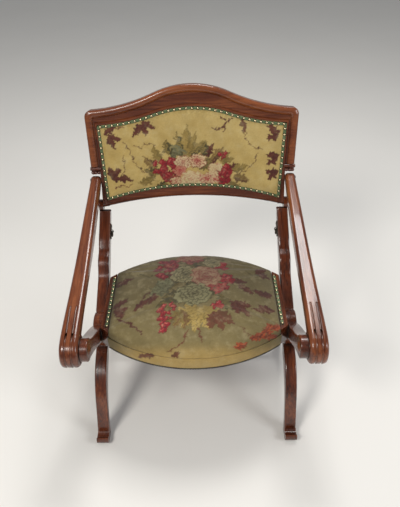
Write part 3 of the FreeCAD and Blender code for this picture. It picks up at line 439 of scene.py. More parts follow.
def arc_points(start, middle, end, count):
    """Points on the circle through three points of a plane, from start to end."""
    (ax, ay), (bx, by), (cx, cy) = start, middle, end
    d = 2 * (ax * (by - cy) + bx * (cy - ay) + cx * (ay - by))
    a2, b2, c2 = ax * ax + ay * ay, bx * bx + by * by, cx * cx + cy * cy
    x = (a2 * (by - cy) + b2 * (cy - ay) + c2 * (ay - by)) / d
    y = (a2 * (cx - bx) + b2 * (ax - cx) + c2 * (bx - ax)) / d
    radius = math.hypot(ax - x, ay - y)
    first, mid, last = (math.atan2(q - y, p - x) for p, q in (start, middle, end))
    turn = (last - first) % (2 * math.pi)
    if (mid - first) % (2 * math.pi) > turn:
        turn -= 2 * math.pi
    return [(x + radius * math.cos(first + turn * k / count),
             y + radius * math.sin(first + turn * k / count)) for k in range(count)]


def even_points(points, step, closed):
    """A line through points, cut into equal steps."""
    line = np.array(list(points) + ([points[0]] if closed else []), float)
    runs = np.linalg.norm(np.diff(line, axis=0), axis=1)
    along = np.concatenate(([0], np.cumsum(runs)))
    count = max(2, int(round(along[-1] / step)))
    places = np.linspace(0, along[-1], count + (0 if closed else 1), endpoint=not closed)
    return np.stack([np.interp(places, along, line[:, k]) for k in range(line.shape[1])], 1)


def arched(half, corner, middle, joint_shares, side_shares):
    """Three arcs from the right-hand end of an arched line to its left-hand end."""
    rise = middle - corner
    joint = (joint_shares[0] * half, corner + joint_shares[1] * rise)
    side = (side_shares[0] * half, corner + side_shares[1] * rise)
    return (arc_points((half, corner), side, joint, 24)
            + arc_points(joint, (0, middle), (-joint[0], joint[1]), 40)
            + arc_points((-joint[0], joint[1]), (-side[0], side[1]), (-half, corner), 24))


def crest_line(inset):
    """The outline of crest and stiles, moved in by an inset, as points across and up."""
    half, corner, radius = CREST_HALF - inset, CREST_CORNER - inset, CREST_BEND - inset / 2
    near = radius * 0.29
    straight = CREST_CORNER - CREST_BEND
    slope = (CREST_HALF - COLLAR_HALF) / (straight - COLLAR_UP)
    foot = half - slope * (straight - MOULDING_FOOT)
    side = [(foot + (half - foot) * k / 12,
             MOULDING_FOOT + (corner - radius - MOULDING_FOOT) * k / 12) for k in range(12)]
    bend = arc_points((half, corner - radius), (half - near, corner - near),
                      (half - radius, corner), 8)
    top = arched(half - radius, corner, CREST_MIDDLE - inset, (0.373, 0.67), (0.655, 0.245))
    return side + bend + top + [(-x, z) for x, z in [(half - radius, corner)] + bend[::-1]
                                + side[::-1]]


def opening_line(inset):
    """The opening of the back frame, narrowed by an inset, as points across and up."""
    top = arched(OPENING_TOP - inset, OPENING_TOP_CORNER - inset, OPENING_TOP_MIDDLE - inset,
                 (0.391, 0.65), (0.694, 0.20))
    foot = OPENING_FOOT - inset
    low = OPENING_FOOT_CORNER + inset
    return top + [(-(OPENING_TOP - inset), OPENING_TOP_CORNER - inset)] + arc_points(
        (-foot, low), (0, OPENING_FOOT_MIDDLE + inset), (foot, low), 60) + [(foot, low)]


def on_back(across, up, out=0.0):
    """A point of the back: across, up along its lean, and out towards the sitter."""
    return BACK_FOOT + Vector((across, 0, 0)) + BACK_UP * up + BACK_FRONT * out


def behind_back(depth):
    """The move that takes a flat shape, drawn across and up, to its place behind the back."""
    turn = Matrix((Vector((1, 0, 0)), BACK_UP, BACK_FRONT)).transposed().to_4x4()
    return Matrix.Translation(BACK_FOOT - BACK_FRONT * depth) @ turn


# ---- the painted flowers

class Tapestry:
    """A flower pattern worked out at every point of a cloth.

    The points are in metres. Every place and size that draws a leaf, a flower or a stem is in
    millimetres, and every turn of a leaf is in degrees.
    """

    def __init__(self, across, up, ground, seed):
        self.random = np.random.default_rng(seed)
        self.u = across + 0.0012 * np.sin(up * 900 + across * 310) + 0.0024 * np.sin(
            up * 260 - across * 140)
        self.v = up + 0.0012 * np.sin(across * 870 - up * 290) + 0.0024 * np.sin(
            across * 240 + up * 170)
        self.paint = np.tile(np.array(ground, float), (len(across), 1))

    def lay(self, mask, colour):
        mask = np.clip(mask, 0, 1)[:, None]
        self.paint += mask * (np.array(colour, float) - self.paint)

    def local(self, x, y, turn):
        du, dv = self.u - x / 1000, self.v - y / 1000
        c, s = math.cos(turn), math.sin(turn)
        return du * c + dv * s, dv * c - du * s

    def leaf(self, x, y, length, width, turn, colour, rib, teeth):
        """A toothed leaf that grows from its foot at x, y, with a dark outline."""
        length, width, vein = length / 1000, width / 1000, 0.0010
        along, across = self.local(x, y, math.radians(turn))
        across = across - 0.12 * width * np.sin(along / length * 3.4)
        share = along / length
        edge = width * np.sin(np.pi * np.clip(share, 0, 1) ** 0.75) * (
            1 + 0.30 * np.sin(share * teeth * 2 * np.pi))
        on = (share > 0) * (share < 1)
        self.lay(smoothstep(-0.0010, 0.0014, edge + 0.0012 - np.abs(across)) * on * 0.75,
                 np.array(colour) * 0.35)
        inside = smoothstep(-0.0014, 0.0014, edge - np.abs(across)) * on
        self.lay(inside, colour)
        self.lay(inside * (across > 0) * 0.45, rib)
        self.lay(inside * smoothstep(0.25, 0.9, share) * 0.35, np.array(colour) * 1.7)
        branch = np.abs(np.sin(share * teeth * np.pi - np.abs(across) / width * 1.5))
        stripe = np.minimum(np.abs(across), branch * 0.006)
        self.lay(inside * smoothstep(vein * 1.7, vein * 0.5, stripe) * 0.8, rib)

    def rose(self, x, y, radius, light, middle, dark, petals, turn, flat=0.85):
        """A full-blown flower: rings of petals, each light at its rim and dark at its foot."""
        du, dv = self.u - x / 1000, (self.v - y / 1000) / flat
        r = np.hypot(du, dv) / (radius / 1000)
        angle = np.arctan2(dv, du) + turn
        angle += 0.30 * np.sin(2 * angle + turn * 5) + 0.22 * np.sin(3 * angle - r * 4)
        r *= 1 + 0.07 * np.sin(2 * angle + turn * 3)
        for reach, count, shift in ((1.04, petals, 0.0), (0.78, petals, 0.6),
                                    (0.54, max(petals - 2, 3), 1.3), (0.30, 3, 2.1)):
            wave = np.abs(np.cos(count * (angle + shift) / 2))
            rim = reach * (0.80 + 0.20 * np.sqrt(wave))
            self.lay(smoothstep(0.05, -0.02, r - rim) * 0.75, dark)
            petal = smoothstep(0.02, -0.05, r - rim + 0.06) * smoothstep(0.05, 0.30, wave)
            self.lay(petal, middle)
            self.lay(petal * smoothstep(0.45, 0.95, r / rim), light)
        self.lay(smoothstep(0.16, 0.06, r), dark)

    def blossoms(self, x, y, spread, count, size, colour, dark, light, stretch=0.8):
        """A loose cluster of small five-petalled flowers or berries, lit from one side."""
        x, y, spread, size = x / 1000, y / 1000, spread / 1000, size / 1000
        for _ in range(count):
            angle = self.random.uniform(0, 2 * math.pi)
            far = spread * math.sqrt(self.random.uniform(0, 1))
            big = size * self.random.uniform(0.75, 1.15)
            du = self.u - x - far * math.cos(angle)
            dv = self.v - y - far * stretch * math.sin(angle)
            r = np.hypot(du, dv)
            lobes = big * (0.70 + 0.30 * np.abs(np.cos(2.5 * np.arctan2(dv, du) + angle)))
            self.lay(smoothstep(0.0012, -0.0006, r - lobes - 0.0012) * 0.9, dark)
            inside = smoothstep(0.0010, -0.0010, r - lobes)
            self.lay(inside, colour)
            lit = np.hypot(du + big * 0.25, dv - big * 0.30)
            self.lay(inside * smoothstep(big * 0.55, big * 0.15, lit) * 0.6, light)
            self.lay(smoothstep(big * 0.24, big * 0.08, r) * 0.8, dark)

    def stem(self, points, width, colour, thorns):
        """A thin bent stem through points, with a few thorns or buds."""
        line = even_points([(x / 1000, y / 1000) for x, y in points], 0.004, False)
        width /= 1000
        nearest = line_distance(self.u, self.v, line)
        self.lay(smoothstep(width + 0.0008, width - 0.0008, nearest) * 0.9, colour)
        for k in range(thorns):
            spot = line[int((k + 0.5) / thorns * (len(line) - 1))]
            r = np.hypot(self.u - spot[0] - 0.003 * (-1) ** k, self.v - spot[1] - 0.002)
            self.lay(smoothstep(0.0036, 0.0016, r), colour)

    def wither(self, amount):
        """Uneven fading, as worn tapestry has."""
        fade = (np.sin(self.u * 47 + 1.3) * np.sin(self.v * 61 + 0.4)
                + np.sin(self.u * 113 + self.v * 71)) * 0.5
        grain = self.random.normal(0, 1, len(self.u)) * 0.035
        self.paint *= (1 + amount * fade + grain)[:, None]
        return np.clip(self.paint, 0, 1)


# Reds and pinks, creams and other lights, browns and greens of the wool
RED, DEEP_RED, PINK = (0.26, 0.009, 0.016), (0.055, 0.005, 0.007), (0.50, 0.12, 0.10)
WINE, CORAL, RUST = (0.20, 0.008, 0.016), (0.62, 0.20, 0.14), (0.30, 0.06, 0.02)
CREAM, BLUSH, ROSE = (0.60, 0.50, 0.29), (0.47, 0.22, 0.14), (0.22, 0.045, 0.035)
PEACH, SAND, SALMON = (0.30, 0.16, 0.09), (0.30, 0.18, 0.10), (0.34, 0.20, 0.12)
BRICK, CLAY, COPPER = (0.20, 0.07, 0.045), (0.19, 0.09, 0.05), (0.19, 0.095, 0.055)
STRAW, LICHEN, FERN = (0.30, 0.25, 0.13), (0.29, 0.25, 0.13), (0.24, 0.22, 0.11)
HAY, REED, BRACKEN = (0.18, 0.15, 0.07), (0.17, 0.145, 0.07), (0.15, 0.13, 0.06)
MAROON, PLUM, OCHRE = (0.070, 0.014, 0.008), (0.115, 0.034, 0.015), (0.40, 0.27, 0.085)
OLIVE, MOSS, TWIG = (0.165, 0.115, 0.030), (0.055, 0.045, 0.014), (0.105, 0.050, 0.020)
SAGE, GOLD = (0.150, 0.145, 0.075), (0.30, 0.21, 0.06)
REDS = (RED, DEEP_RED, PINK)
# What soil and wear take from the cloth's colour
SEAT_SOIL, BACK_SOIL, BORDER_SOIL = (0.75, 0.72, 0.55), (0.80, 0.74, 0.55), (0.85, 0.8, 0.6)


def back_flowers(across, up, ground):
    """The spray of the back: a low bunch in the middle, and leaves round the edge."""
    t = Tapestry(across, up, ground, 11)
    # painted highlight: the ground grows lighter towards the foot of the back
    t.paint *= (0.86 + 0.2 * smoothstep(0.30, 0.08, up))[:, None]
    # stems that sweep out of the bunch
    t.stem([(-115, 95), (-150, 118), (-178, 150), (-190, 185), (-205, 205)], 1.3, TWIG, 4)
    t.stem([(-215, 105), (-205, 135), (-208, 165)], 1.2, TWIG, 2)
    t.stem([(-175, 195), (-150, 190), (-140, 203), (-118, 200), (-112, 182)], 1.3, TWIG, 3)
    t.stem([(135, 103), (168, 118), (188, 142), (196, 170)], 1.3, TWIG, 3)
    t.stem([(210, 178), (180, 190), (160, 210), (150, 250)], 1.3, TWIG, 4)
    t.stem([(60, 245), (85, 240), (105, 262), (122, 272)], 2.2, MAROON, 4)
    t.stem([(85, 275), (105, 262), (92, 232)], 1.8, MAROON, 2)
    t.stem([(-150, 70), (-125, 85), (-105, 88)], 1.2, OLIVE, 2)
    t.stem([(115, 70), (150, 82), (170, 78)], 1.2, OLIVE, 2)
    # leaf plume
    for turn, length, width, tint in (
            (92, 95, 12, OLIVE), (118, 80, 8, MOSS), (128, 70, 6, MOSS), (70, 75, 9, OLIVE),
            (42, 70, 8, OLIVE), (25, 65, 6, MOSS), (104, 72, 7, GOLD), (150, 75, 11, SAGE)):
        t.leaf(-12, 165, length, width, turn, tint, GOLD, 2)
    t.leaf(-30, 170, 60, 13, 168, SAGE, MOSS, 3)
    t.leaf(40, 160, 45, 13, 60, MAROON, PLUM, 3)
    t.leaf(42, 135, 40, 11, 30, MAROON, PLUM, 3)
    for turn in (10, 50, 95, 135):
        t.leaf(30, 125, 45, 12, turn, OLIVE, MOSS, 3)
    t.leaf(105, 128, 52, 12, -10, MAROON, PLUM, 4)
    for turn in (20, 55, 85):
        t.leaf(90, 140, 42, 6, turn, OLIVE, GOLD, 2)
    for x, y, turn, tint in (
            (-100, 110, 165, MOSS), (-110, 130, 140, TWIG), (-95, 150, 120, OLIVE),
            (-70, 165, 100, MOSS), (-120, 95, 200, OLIVE), (-80, 80, 215, MOSS),
            (30, 160, 75, MOSS), (60, 150, 50, TWIG), (120, 115, 20, OLIVE), (125, 95, -15, TWIG),
            (110, 75, -35, MOSS), (20, 70, -80, OLIVE), (-30, 65, 250, MOSS), (70, 70, -60, MOSS)):
        t.leaf(x, y, 50, 12, turn, tint, GOLD, 4)
    # flowers of the bunch
    for row in ((-98, 128, 30, 9, 10), (-75, 105, 34, 16, 11), (-60, 145, 16, 5, 10)):
        t.blossoms(*row, *REDS)
    for row in ((-30, 142, 26, CREAM, BLUSH, ROSE, 5, 0.3),
                (14, 148, 27, CREAM, PINK, ROSE, 6, 1.1),
                (-40, 118, 19, BLUSH, PINK, RED, 5, 2.0),
                (-5, 88, 36, CREAM, CREAM, BLUSH, 7, 0.7),
                (-52, 82, 18, CREAM, BLUSH, RED, 5, 1.7),
                (72, 118, 26, CREAM, CREAM, BLUSH, 6, 0.2),
                (42, 90, 24, CREAM, PINK, RED, 6, 0.9), (70, 88, 18, CREAM, PINK, RED, 5, 2.4)):
        t.rose(*row)
    for row in ((102, 112, 22, 9, 10), (98, 82, 16, 5, 10), (88, 165, 15, 4, 6)):
        t.blossoms(*row, *REDS)
    # loose leaves near the edge
    for x, y, turn in (
            (-150, 262, -70), (-150, 262, -20), (-155, 258, -120), (-255, 222, -10),
            (-255, 222, -55), (-262, 232, 30), (-258, 128, -70), (-252, 100, -15), (-250, 100, 40),
            (-225, 98, -10), (262, 160, 175), (262, 150, 200), (262, 105, 170), (262, 110, 215),
            (262, 220, 190), (262, 228, 150)):
        t.leaf(x, y, 42, 10, turn, MAROON, PLUM, 3)
    t.stem([(-262, 250), (-232, 246), (-205, 250)], 1.6, PLUM, 4)
    t.stem([(-240, 62), (-225, 74), (-200, 68), (-185, 76)], 1.4, PLUM, 2)
    t.leaf(145, 275, 50, 7, -70, TWIG, PLUM, 3)
    return t.wither(0.06)


def seat_flowers(across, up, ground):
    """The seat's big bunch, with leaves and berries at its foot and twigs at the sides."""
    t = Tapestry(across, up, ground, 23)
    t.lay(smoothstep(-0.235, -0.300, up) * 0.8, OCHRE)
    t.stem([(-215, -150), (-180, -172), (-160, -190), (-140, -215)], 2.6, MAROON, 5)
    t.stem([(-205, -160), (-200, -130), (-188, -112)], 2.2, MAROON, 4)
    t.stem([(-150, -85), (-130, -60), (-112, -70)], 2.4, MAROON, 3)
    t.stem([(-165, 30), (-135, 12), (-120, 14)], 1.4, MOSS, 2)
    t.stem([(125, -195), (145, -222), (175, -215), (200, -190)], 1.6, TWIG, 4)
    t.stem([(-18, -215), (-30, -245), (-70, -275)], 2.2, PLUM, 0)
    t.stem([(10, -205), (20, -245)], 2, PLUM, 0)
    t.stem([(155, 35), (180, 20), (205, 30)], 1.4, MOSS, 2)
    # dark leaves behind the bunch
    for x, y, turn in (
            (-30, -70, 200), (-45, -30, 190), (-50, -10, 160), (10, -10, 250), (0, 30, 90),
            (25, 55, 70), (-10, 60, 120), (45, 60, 40), (-55, -95, 215), (-40, -120, 170),
            (70, -90, 300), (60, -110, 330), (-20, -25, 300), (30, -50, 320)):
        t.leaf(x, y, 62, 18, turn, MOSS, OLIVE, 3)
    for turn in (100, 130, 165, 190):
        t.leaf(-72, -60, 60, 14, turn, SAGE, MOSS, 3)
    # reds
    t.blossoms(-82, 35, 40, 16, 12, WINE, DEEP_RED, PINK, 1.0)
    t.blossoms(-80, 75, 26, 7, 12, WINE, DEEP_RED, PINK)
    t.blossoms(-18, 82, 40, 12, 10, ROSE, DEEP_RED, PINK, 0.4)
    t.blossoms(85, 55, 20, 7, 12, *REDS)
    t.blossoms(85, -20, 28, 14, 13, *REDS, 1.2)
    t.blossoms(62, -55, 24, 9, 12, *REDS, 0.6)
    t.blossoms(55, -125, 16, 5, 11, *REDS)
    # roses
    for row in ((-30, 104, 26, PEACH, BRICK, ROSE, 6, 0.3),
                (10, 105, 22, SAND, CLAY, ROSE, 5, 1.4), (55, 72, 30, STRAW, HAY, MOSS, 6, 0.4),
                (-26, 10, 44, LICHEN, REED, MOSS, 7, 0.8, 1.0),
                (36, 0, 46, SALMON, COPPER, ROSE, 6, 0.1, 1.0),
                (-2, -80, 58, FERN, BRACKEN, MOSS, 8, 0.5, 0.8)):
        t.rose(*row)
    t.leaf(-60, -40, 50, 20, 160, SAGE, MOSS, 3)
    # gold leaves, berries and maroon leaves at the foot
    for turn in (205, 235, 262, 290, 320):
        t.leaf(12, -135, 85, 22, turn, GOLD, OLIVE, 4)
    for turn in (215, 245, 275):
        t.leaf(-30, -150, 60, 13, turn, OLIVE, PLUM, 4)
    for turn in (250, 285, 320):
        t.leaf(60, -150, 65, 16, turn, PLUM, TWIG, 4)
    for x, y, spread, count in (
            (-75, -140, 24, 9), (-82, -165, 22, 9), (-85, -190, 14, 6), (-82, -212, 7, 3)):
        t.blossoms(x, y, spread, count, 7.5, RED, DEEP_RED, CORAL, 1.0)
    for x, y, turn, length in (
            (-130, -88, 225, 60), (-112, -70, 250, 45), (105, -110, 315, 75), (105, -105, 290, 55),
            (112, -110, 345, 50), (125, -30, -40, 60), (115, -22, 10, 40), (-235, 0, 20, 55),
            (-240, 10, -15, 45), (-235, -100, 30, 55), (-230, -110, -10, 45),
            (-225, -118, -45, 40), (225, -60, 170, 60), (225, -52, 210, 40), (225, 20, 150, 50),
            (225, -120, 190, 65), (220, -130, 150, 45), (220, 60, 200, 40)):
        t.leaf(x, y, length, 11, turn, MAROON, PLUM, 4)
    for x, y, turn in (
            (150, -235, 20), (170, -238, 60), (185, -228, 10), (195, -215, 70), (210, -200, 30),
            (140, -250, 200)):
        t.leaf(x, y, 42, 12, turn, RUST, MAROON, 4)
    for x, turn in ((-150, 10), (-105, 160), (-60, 30)):
        t.leaf(x, -292, 30, 8, turn, PLUM, TWIG, 3)
    # painted shade: the whole painting grows darker towards the back of the seat and lighter at
    # its front
    t.paint *= 0.56 + 0.50 * smoothstep(0.02, -0.27, up)[:, None]
    return t.wither(0.07)


def paint(piece, colours):
    """Stores a colour at each point of a piece, for its finish to read."""
    attribute = piece.data.color_attributes.new("floral", "FLOAT_COLOR", "POINT")
    full = np.ones((len(colours), 4))
    full[:, :3] = colours
    attribute.data.foreach_set("color", full.ravel())


def seat_cloth_places(places):
    """Where each point of the seat's cloth lies when the cloth is opened out flat."""
    side = np.clip((places[:, 1] - SEAT_MIDDLE) / 0.15, -1, 1)
    drop = np.clip(0.385 - places[:, 2], 0, 1)
    return places[:, 0], places[:, 1] + side * drop


# ---- stuffing

def padding(node, name, shrink, voxel, held, cap, pressure):
    """A copy of a soft solid, remeshed, then swollen as cloth while its held points stay."""
    piece = add_object(name, NODES[node].data.copy())
    piece.data.materials.clear()
    shape = bmesh.new()
    shape.from_mesh(piece.data)
    bmesh.ops.remove_doubles(shape, verts=shape.verts, dist=0.00002)
    bmesh.ops.recalc_face_normals(shape, faces=shape.faces)
    shape.to_mesh(piece.data)
    shape.free()
    low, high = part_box(node)
    middle = np.array((low + high) / 2)
    places = points_of(piece.data)
    move_points(piece.data, middle + (places - middle) * np.array(shrink))
    remesh = piece.modifiers.new("remesh", "REMESH")
    remesh.mode = "VOXEL"
    remesh.voxel_size = voxel
    remesh.use_smooth_shade = True
    settle(piece)
    start = points_of(piece.data)
    group = piece.vertex_groups.new(name="held")
    for index in np.nonzero(held(start))[0]:
        group.add([int(index)], 1.0, "REPLACE")
    cloth = piece.modifiers.new("stuffing", "CLOTH")
    for setting, value in {
            "quality": 6, "mass": 0.3, "tension_stiffness": 18, "compression_stiffness": 12,
            "shear_stiffness": 8, "bending_stiffness": 0.6, "use_pressure": True,
            "uniform_pressure_force": pressure, "vertex_group_mass": "held"}.items():
        setattr(cloth.settings, setting, value)
    cloth.settings.effector_weights.gravity = 0
    cloth.collision_settings.use_self_collision = False
    cloth.point_cache.frame_start = 1
    cloth.point_cache.frame_end = STUFFING_STEPS
    for step in range(1, STUFFING_STEPS + 1):
        bpy.context.scene.frame_set(step)
    graph = bpy.context.evaluated_depsgraph_get()
    swollen = points_of(piece.evaluated_get(graph).data)
    piece.modifiers.clear()
    bpy.context.scene.frame_set(1)
    move = swollen - start
    far = np.linalg.norm(move, axis=1, keepdims=True)
    move *= np.minimum(1, cap / np.maximum(far, 1e-9))
    move_points(piece.data, start + move)
    return piece


def finer(piece):
    """One step of subdivision, settled into the mesh."""
    smooth = piece.modifiers.new("smooth", "SUBSURF")
    smooth.levels = 1
    smooth.render_levels = 1
    settle(piece)
    piece.data.shade_smooth()
    return piece


def plait(name, routes, strands, width, lift, period, thickness, finish, body, slot, *nodes):
    """Strands that cross one another along routes: points, ways outward, and closed or not."""
    made = []
    for number, (points, outward, closed) in enumerate(routes):
        points = np.array(points)
        outward = np.array(outward)
        ahead = np.roll(points, -1, 0) - np.roll(points, 1, 0)
        if not closed:
            ahead[0] = points[1] - points[0]
            ahead[-1] = points[-1] - points[-2]
        ahead /= np.linalg.norm(ahead, axis=1, keepdims=True)
        sideways = np.cross(ahead, outward)
        steps = np.linalg.norm(np.diff(points, axis=0), axis=1)
        along = np.concatenate(([0], np.cumsum(steps)))
        length = along[-1] + (np.linalg.norm(points[0] - points[-1]) if closed else 0)
        turns = max(1, round(length / period))
        phase = along / length * turns * 2 * np.pi
        for strand in range(strands):
            shift = phase + strand * 2 * np.pi / strands
            line = (points + sideways * (width * np.sin(shift))[:, None]
                    + outward * (lift * np.sin(2 * shift))[:, None])
            curve = bpy.data.curves.new(f"{name}_{number}_{strand}", "CURVE")
            curve.dimensions = "3D"
            curve.bevel_depth = thickness
            curve.bevel_resolution = 1
            curve.use_fill_caps = True
            spline = curve.splines.new("POLY")
            spline.points.add(len(line) - 1)
            spline.points.foreach_set("co", np.c_[line, np.ones(len(line))].ravel())
            spline.use_cyclic_u = closed
            made.append(add_object(curve.name, curve))
    shape = bmesh.new()
    graph = bpy.context.evaluated_depsgraph_get()
    for holder in made:
        mesh = bpy.data.meshes.new_from_object(holder.evaluated_get(graph))
        shape.from_mesh(mesh)
        bpy.data.meshes.remove(mesh)
        bpy.data.objects.remove(holder)
    piece = add_piece(name, shape, finish, body, slot)
    if nodes:
        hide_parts(*nodes)
    return piece


# ---- settings

def length_setting(name, default, note):
    return FloatProperty(name=name, default=default, unit="LENGTH", description=note)


def colour_setting(name, default, note):
    return FloatVectorProperty(name=name, default=default, subtype="COLOR", description=note)


class ArmchairSizes(bpy.types.PropertyGroup):
    """Sizes of the soft goods that a user would change."""

    seat_pressure: FloatProperty(name="Seat stuffing", default=4.0, min=0, max=12,
                                 description="How firmly the seat is stuffed")
    back_pressure: FloatProperty(name="Back stuffing", default=3.5, min=0, max=12,
                                 description="How firmly the back is stuffed")
    cloth_grain: length_setting("Cloth mesh", 0.0045,
                                "Mesh size of the padded pieces before smoothing")
    gimp_half: length_setting("Gimp half width", 0.0036,
                              "Reach of the gimp's strands to each side")
    gimp_yarn: length_setting("Gimp yarn", 0.0011, "Radius of one strand of the gimp")
    plait_length: length_setting("Plait length", 0.009, "Length of one full crossing of the plait")
    strap_weave: IntProperty(name="Strap segments", default=60,
                             description="Steps along one strap of webbing")


class ArmchairColours(bpy.types.PropertyGroup):
    """Colours of wood, cloth and metal."""

    wood_light: colour_setting("Light streaks", (0.23, 0.064, 0.017),
                               "Light streaks of the mahogany")
    wood_mid: colour_setting("Wood", (0.105, 0.022, 0.006), "Main colour of the mahogany")
    wood_dark: colour_setting("Dark streaks", (0.030, 0.007, 0.003), "Dark streaks and pores")
    back_ground: colour_setting("Back cloth", (0.47, 0.345, 0.125),
                                "Ground colour of the back's cloth")
    seat_ground: colour_setting("Seat cloth", (0.168, 0.130, 0.052),
                                "Ground colour of the seat's cloth")
    gimp_green: colour_setting("Gimp", (0.125, 0.185, 0.068), "Green yarn of the gimp")
    brass: colour_setting("Brass", (0.72, 0.60, 0.36), "Brass of the nails")
    iron: colour_setting("Iron", (0.10, 0.085, 0.07), "Browned iron of pins, plates and rings")


# ---- operators

class ARMCHAIR_OT_wood(bpy.types.Operator):
    """Give each wooden part its polish, with the grain along the part"""

    bl_idname = "armchair.wood"
    bl_label = "Polished wood"

    def execute(self, context):
        # the way that the grain of each part runs, and how light its wood is made: painted light
        # on the crest and arms, and painted shade on the legs, stiles, scroll caps and the rails
        # under the seat
        grain_ways_and_painted_tones = {
            "crest_rail": ((1, 0, 0), 0.05), "lower_back_rail": ((1, 0, 0), 0.0),
            "stile": (tuple(BACK_UP), -0.04), "arm": ((0, 0.95, 0.31), 0.06),
            "front_leg": ((0, 0.77, 0.64), -0.04), "rear_leg": ((0, -0.75, 0.66), -0.05),
            "scroll_cap": ((0, 0, 1), -0.03), "seat_rail": ((0, 1, 0), -0.05),
            "seat_spacer": ((0, 0, 1), -0.05), "tie_rail": ((1, 0, 0), -0.02),
            "rear_stretcher": ((1, 0, 0), 0.0), "seat_front_rail": ((1, 0, 0), 0.0),
            "seat_back_rail": ((1, 0, 0), 0.0),
        }
        finishes = {key: polished_wood("wood_" + key, *way) for key, way in grain_ways_and_painted_tones.items()}
        for name, node in NODES.items():
            key = name.replace("left_", "").replace("right_", "")
            if name in finishes or key in finishes:
                cover(node, finishes.get(name) or finishes[key])
        return {"FINISHED"}


class ARMCHAIR_OT_mouldings(bpy.types.Operator):
    """Run a bold rounded moulding round the crest and the stiles"""

    bl_idname = "armchair.mouldings"
    bl_label = "Crest moulding"

    def execute(self, context):
        # the section from the outer edge inwards: inset, and height over the front face
        section = ((0.0002, -0.0100), (0.0000, -0.0055), (0.0012, -0.0022), (0.0040, 0.0003),
                   (0.0080, 0.0017), (0.0125, 0.0019), (0.0165, 0.0008), (0.0200, -0.0014),
                   (0.0226, -0.0042), (0.0240, -0.0075))
        shape = bmesh.new()
        row, edges = chain(shape, [on_back(x, z, section[0][1])
                                   for x, z in crest_line(section[0][0])])
        for inset, height in section[1:]:
            fresh, edges = next_row(shape, edges)
            for vert, (x, z) in zip(fresh, crest_line(inset)):
                vert.co = on_back(x, z, height)
        first_row = set(row)
        first_edges = [edge for edge in shape.edges if edge.is_boundary
                       and all(vert in first_row for vert in edge.verts)]
        bmesh.ops.bridge_loops(shape, edges=first_edges + edges)
        bmesh.ops.holes_fill(shape, edges=[edge for edge in shape.edges if edge.is_boundary],
                             sides=0)
        bmesh.ops.recalc_face_normals(shape, faces=shape.faces)
        # the moulding's wood is made lighter, as painted light on the crest's edge
        finish = polished_wood("wood_moulding", (1, 0, 0), 0.10)
        piece = add_piece("crest_moulding", shape, finish, "back", "polished_wood")
        ends = piece.modifiers.new("ends", "EDGE_SPLIT")
        ends.split_angle = math.radians(60)
        settle(piece)
        return {"FINISHED"}


class ARMCHAIR_OT_ironwork(bpy.types.Operator):
    """Give bolts, pins, plates and rings browned iron, and the nails brass"""

    bl_idname = "armchair.ironwork"
    bl_label = "Metalwork"

    def execute(self, context):
        colours = context.scene.armchair_colours
        iron = metal("browned_iron", colours.iron, (0.05, 0.032, 0.02), 0.38)
        rounds = {"back_nails": nail_brass("back_brass", colours.brass, tuple(BACK_FRONT)),
                  "seat_nails": nail_brass("seat_brass", colours.brass, (0, 0, 1))}
        for name, node in NODES.items():
            finish = rounds.get(name[-10:])
            if name.endswith(("_bolt", "_pin", "_plate", "_ring", "_rod")):
                finish = iron
            if finish:
                cover(node, finish)
        return {"FINISHED"}


class ARMCHAIR_OT_seat_padding(bpy.types.Operator):
    """Stuff the seat and cover it with the floral cloth"""

    bl_idname = "armchair.seat_padding"
    bl_label = "Seat padding"

    def execute(self, context):
        sizes = context.scene.armchair_sizes
        held_foot, held_side, crown_room = 0.006, 0.008, 0.006
        roll_level, roll_width, roll_height = 0.357, 0.0035, 0.0012

        def held(places):
            low = places[:, 2] < SEAT_RAIL_TOP + held_foot
            return low | (np.abs(places[:, 0]) > SEAT_INSIDE - held_side)

        seat = padding("seat_cushion", "seat_padding", (0.998, 0.997, 0.995), sizes.cloth_grain,
                       held, cap=0.022, pressure=sizes.seat_pressure)
        finer(seat)
        places = points_of(seat.data)
        across, up = seat_cloth_places(places)
        ridge = np.exp(-((places[:, 2] - roll_level) / roll_width) ** 2)
        front = smoothstep(0.02, -0.10, places[:, 1] - SEAT_MIDDLE)
        places += points_of(seat.data, "normal") * (roll_height * ridge * front)[:, None]
        low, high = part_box("seat_cushion")
        places[:, 0] = np.clip(places[:, 0], low[0], high[0])
        places[:, 2] = np.clip(places[:, 2], low[2], high[2] + crown_room)
        move_points(seat.data, places)
        paint(seat, seat_flowers(across, up, context.scene.armchair_colours.seat_ground))
        dress(seat, floral_cloth("seat_cloth", SEAT_SOIL), "front_frame", "floral_cloth",
              "seat_cushion")
        return {"FINISHED"}


